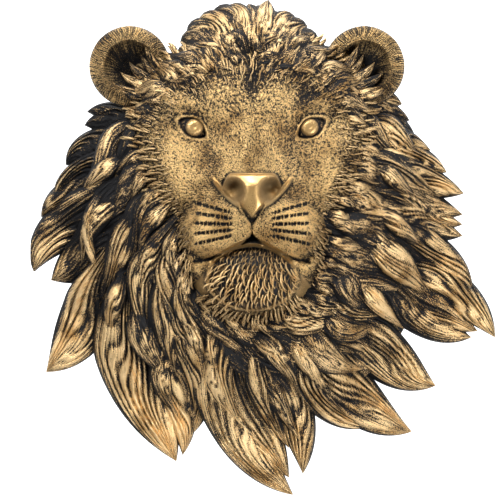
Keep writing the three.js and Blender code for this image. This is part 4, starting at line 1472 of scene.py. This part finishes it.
class MASK_OT_tufts(bpy.types.Operator):
    """Set the small tufts round the face and under the chin"""
    bl_idname = "lion_mask.tufts"
    bl_label = "Small tufts"

    def execute(self, context):
        pattern = tuft_pattern("small_tuft", length=15, width=3.2, height=2.4, bend=16, bright=0.3)
        return set_tufts(context, "small_tufts", (fringe_spots, beard_spots), pattern, lift=6)


class MASK_OT_chin_fur(bpy.types.Operator):
    """Set the thin hairs over the chin"""
    bl_idname = "lion_mask.chin_fur"
    bl_label = "Chin fur"

    def execute(self, context):
        pattern = tuft_pattern("chin_hair", length=12, width=2.1, height=2.2, bend=30, bright=0.9)
        return set_tufts(context, "chin_fur", (chin_spots,), pattern, lift=8)


# Studio

class Lamp(NamedTuple):
    """A round lamp of the studio: its place and size in metres, its power in watts."""
    name: str
    place: tuple
    power: float
    size: float


LAMPS = [
    Lamp("key", (-0.6, -1.4, 0.9), 29, 0.7),
    Lamp("fill", (0.9, -1.3, -0.7), 20, 0.55),
    Lamp("top", (0.2, -0.5, 1.3), 14, 0.7),
]
LAMPS_AIM = Vector((0, 0, -0.04))
BACKDROP_HALF, BACKDROP_GLOW, DAYLIGHT = 3.0, 0.75, 0.32
SENSOR = 36.0
VIEW_X, VIEW_Z = -1.6, -40.6


class MASK_OT_studio(bpy.types.Operator):
    """Set up the backdrop, the lights and the camera"""
    bl_idname = "lion_mask.studio"
    bl_label = "Studio"

    def execute(self, context):
        studio = context.scene.studio_sizes
        wall = bpy.data.meshes.new("backdrop")
        corners = ((-1, -1), (1, -1), (1, 1), (-1, 1))
        wall.from_pydata([(x * BACKDROP_HALF, studio.wall_gap, z * BACKDROP_HALF) for x, z in corners], [],
                         [(0, 1, 2, 3)])
        wall.materials.append(matte("backdrop", studio.wall_color, BACKDROP_GLOW))
        backdrop = bpy.data.objects.new("backdrop", wall)
        context.collection.objects.link(backdrop)
        for lamp in LAMPS:
            self.light(context, lamp)
        world = context.scene.world or bpy.data.worlds.new("studio")
        context.scene.world = world
        world.use_nodes = True
        daylight = world.node_tree.nodes["Background"]
        daylight.inputs["Color"].default_value = (1, 1, 1, 1)
        daylight.inputs["Strength"].default_value = DAYLIGHT
        context.scene.view_settings.view_transform = "Standard"
        camera = bpy.data.objects.new("camera", bpy.data.cameras.new("camera"))
        camera.data.sensor_width = SENSOR
        camera.data.lens = SENSOR * studio.camera_distance / studio.view_height
        camera.location = (VIEW_X * MM, -studio.camera_distance, VIEW_Z * MM)
        camera.rotation_euler = (radians(90), 0, 0)
        context.collection.objects.link(camera)
        context.scene.camera = camera
        return {"FINISHED"}

    def light(self, context, lamp):
        data = bpy.data.lights.new(lamp.name, "AREA")
        data.shape, data.size, data.energy = "DISK", lamp.size, lamp.power
        light = bpy.data.objects.new(lamp.name, data)
        light.location = lamp.place
        light.rotation_euler = (LAMPS_AIM - light.location).to_track_quat("-Z", "Y").to_euler()
        context.collection.objects.link(light)


STEPS = (MASK_OT_face, MASK_OT_outer_mane, MASK_OT_inner_mane, MASK_OT_cheek_locks, MASK_OT_crest,
         MASK_OT_ears, MASK_OT_tufts, MASK_OT_chin_fur, MASK_OT_studio)


class MASK_PT_sidebar(bpy.types.Panel):
    bl_idname = "MASK_PT_sidebar"
    bl_label = "Lion Mask"
    bl_space_type = "VIEW_3D"
    bl_region_type = "UI"
    bl_category = "Lion Mask"

    def draw(self, context):
        for group in (context.scene.mask_sizes, context.scene.mask_finish, context.scene.studio_sizes):
            for key in group.__annotations__:
                self.layout.prop(group, key)
        for operator in STEPS:
            self.layout.operator(operator.bl_idname)


GROUPS = {"mask_sizes": MaskSizes, "mask_finish": MaskFinish, "studio_sizes": StudioSizes}
CLASSES = (*GROUPS.values(), *STEPS, MASK_PT_sidebar)


def register():
    for made in CLASSES:
        bpy.utils.register_class(made)
    for name, group in GROUPS.items():
        setattr(bpy.types.Scene, name, bpy.props.PointerProperty(type=group))


def unregister():
    for name in GROUPS:
        delattr(bpy.types.Scene, name)
    for made in reversed(CLASSES):
        bpy.utils.unregister_class(made)


def main():
    register()
    for operator in STEPS:
        area, name = operator.bl_idname.split(".")
        getattr(getattr(bpy.ops, area), name)()


if __name__ == "__main__":
    main()
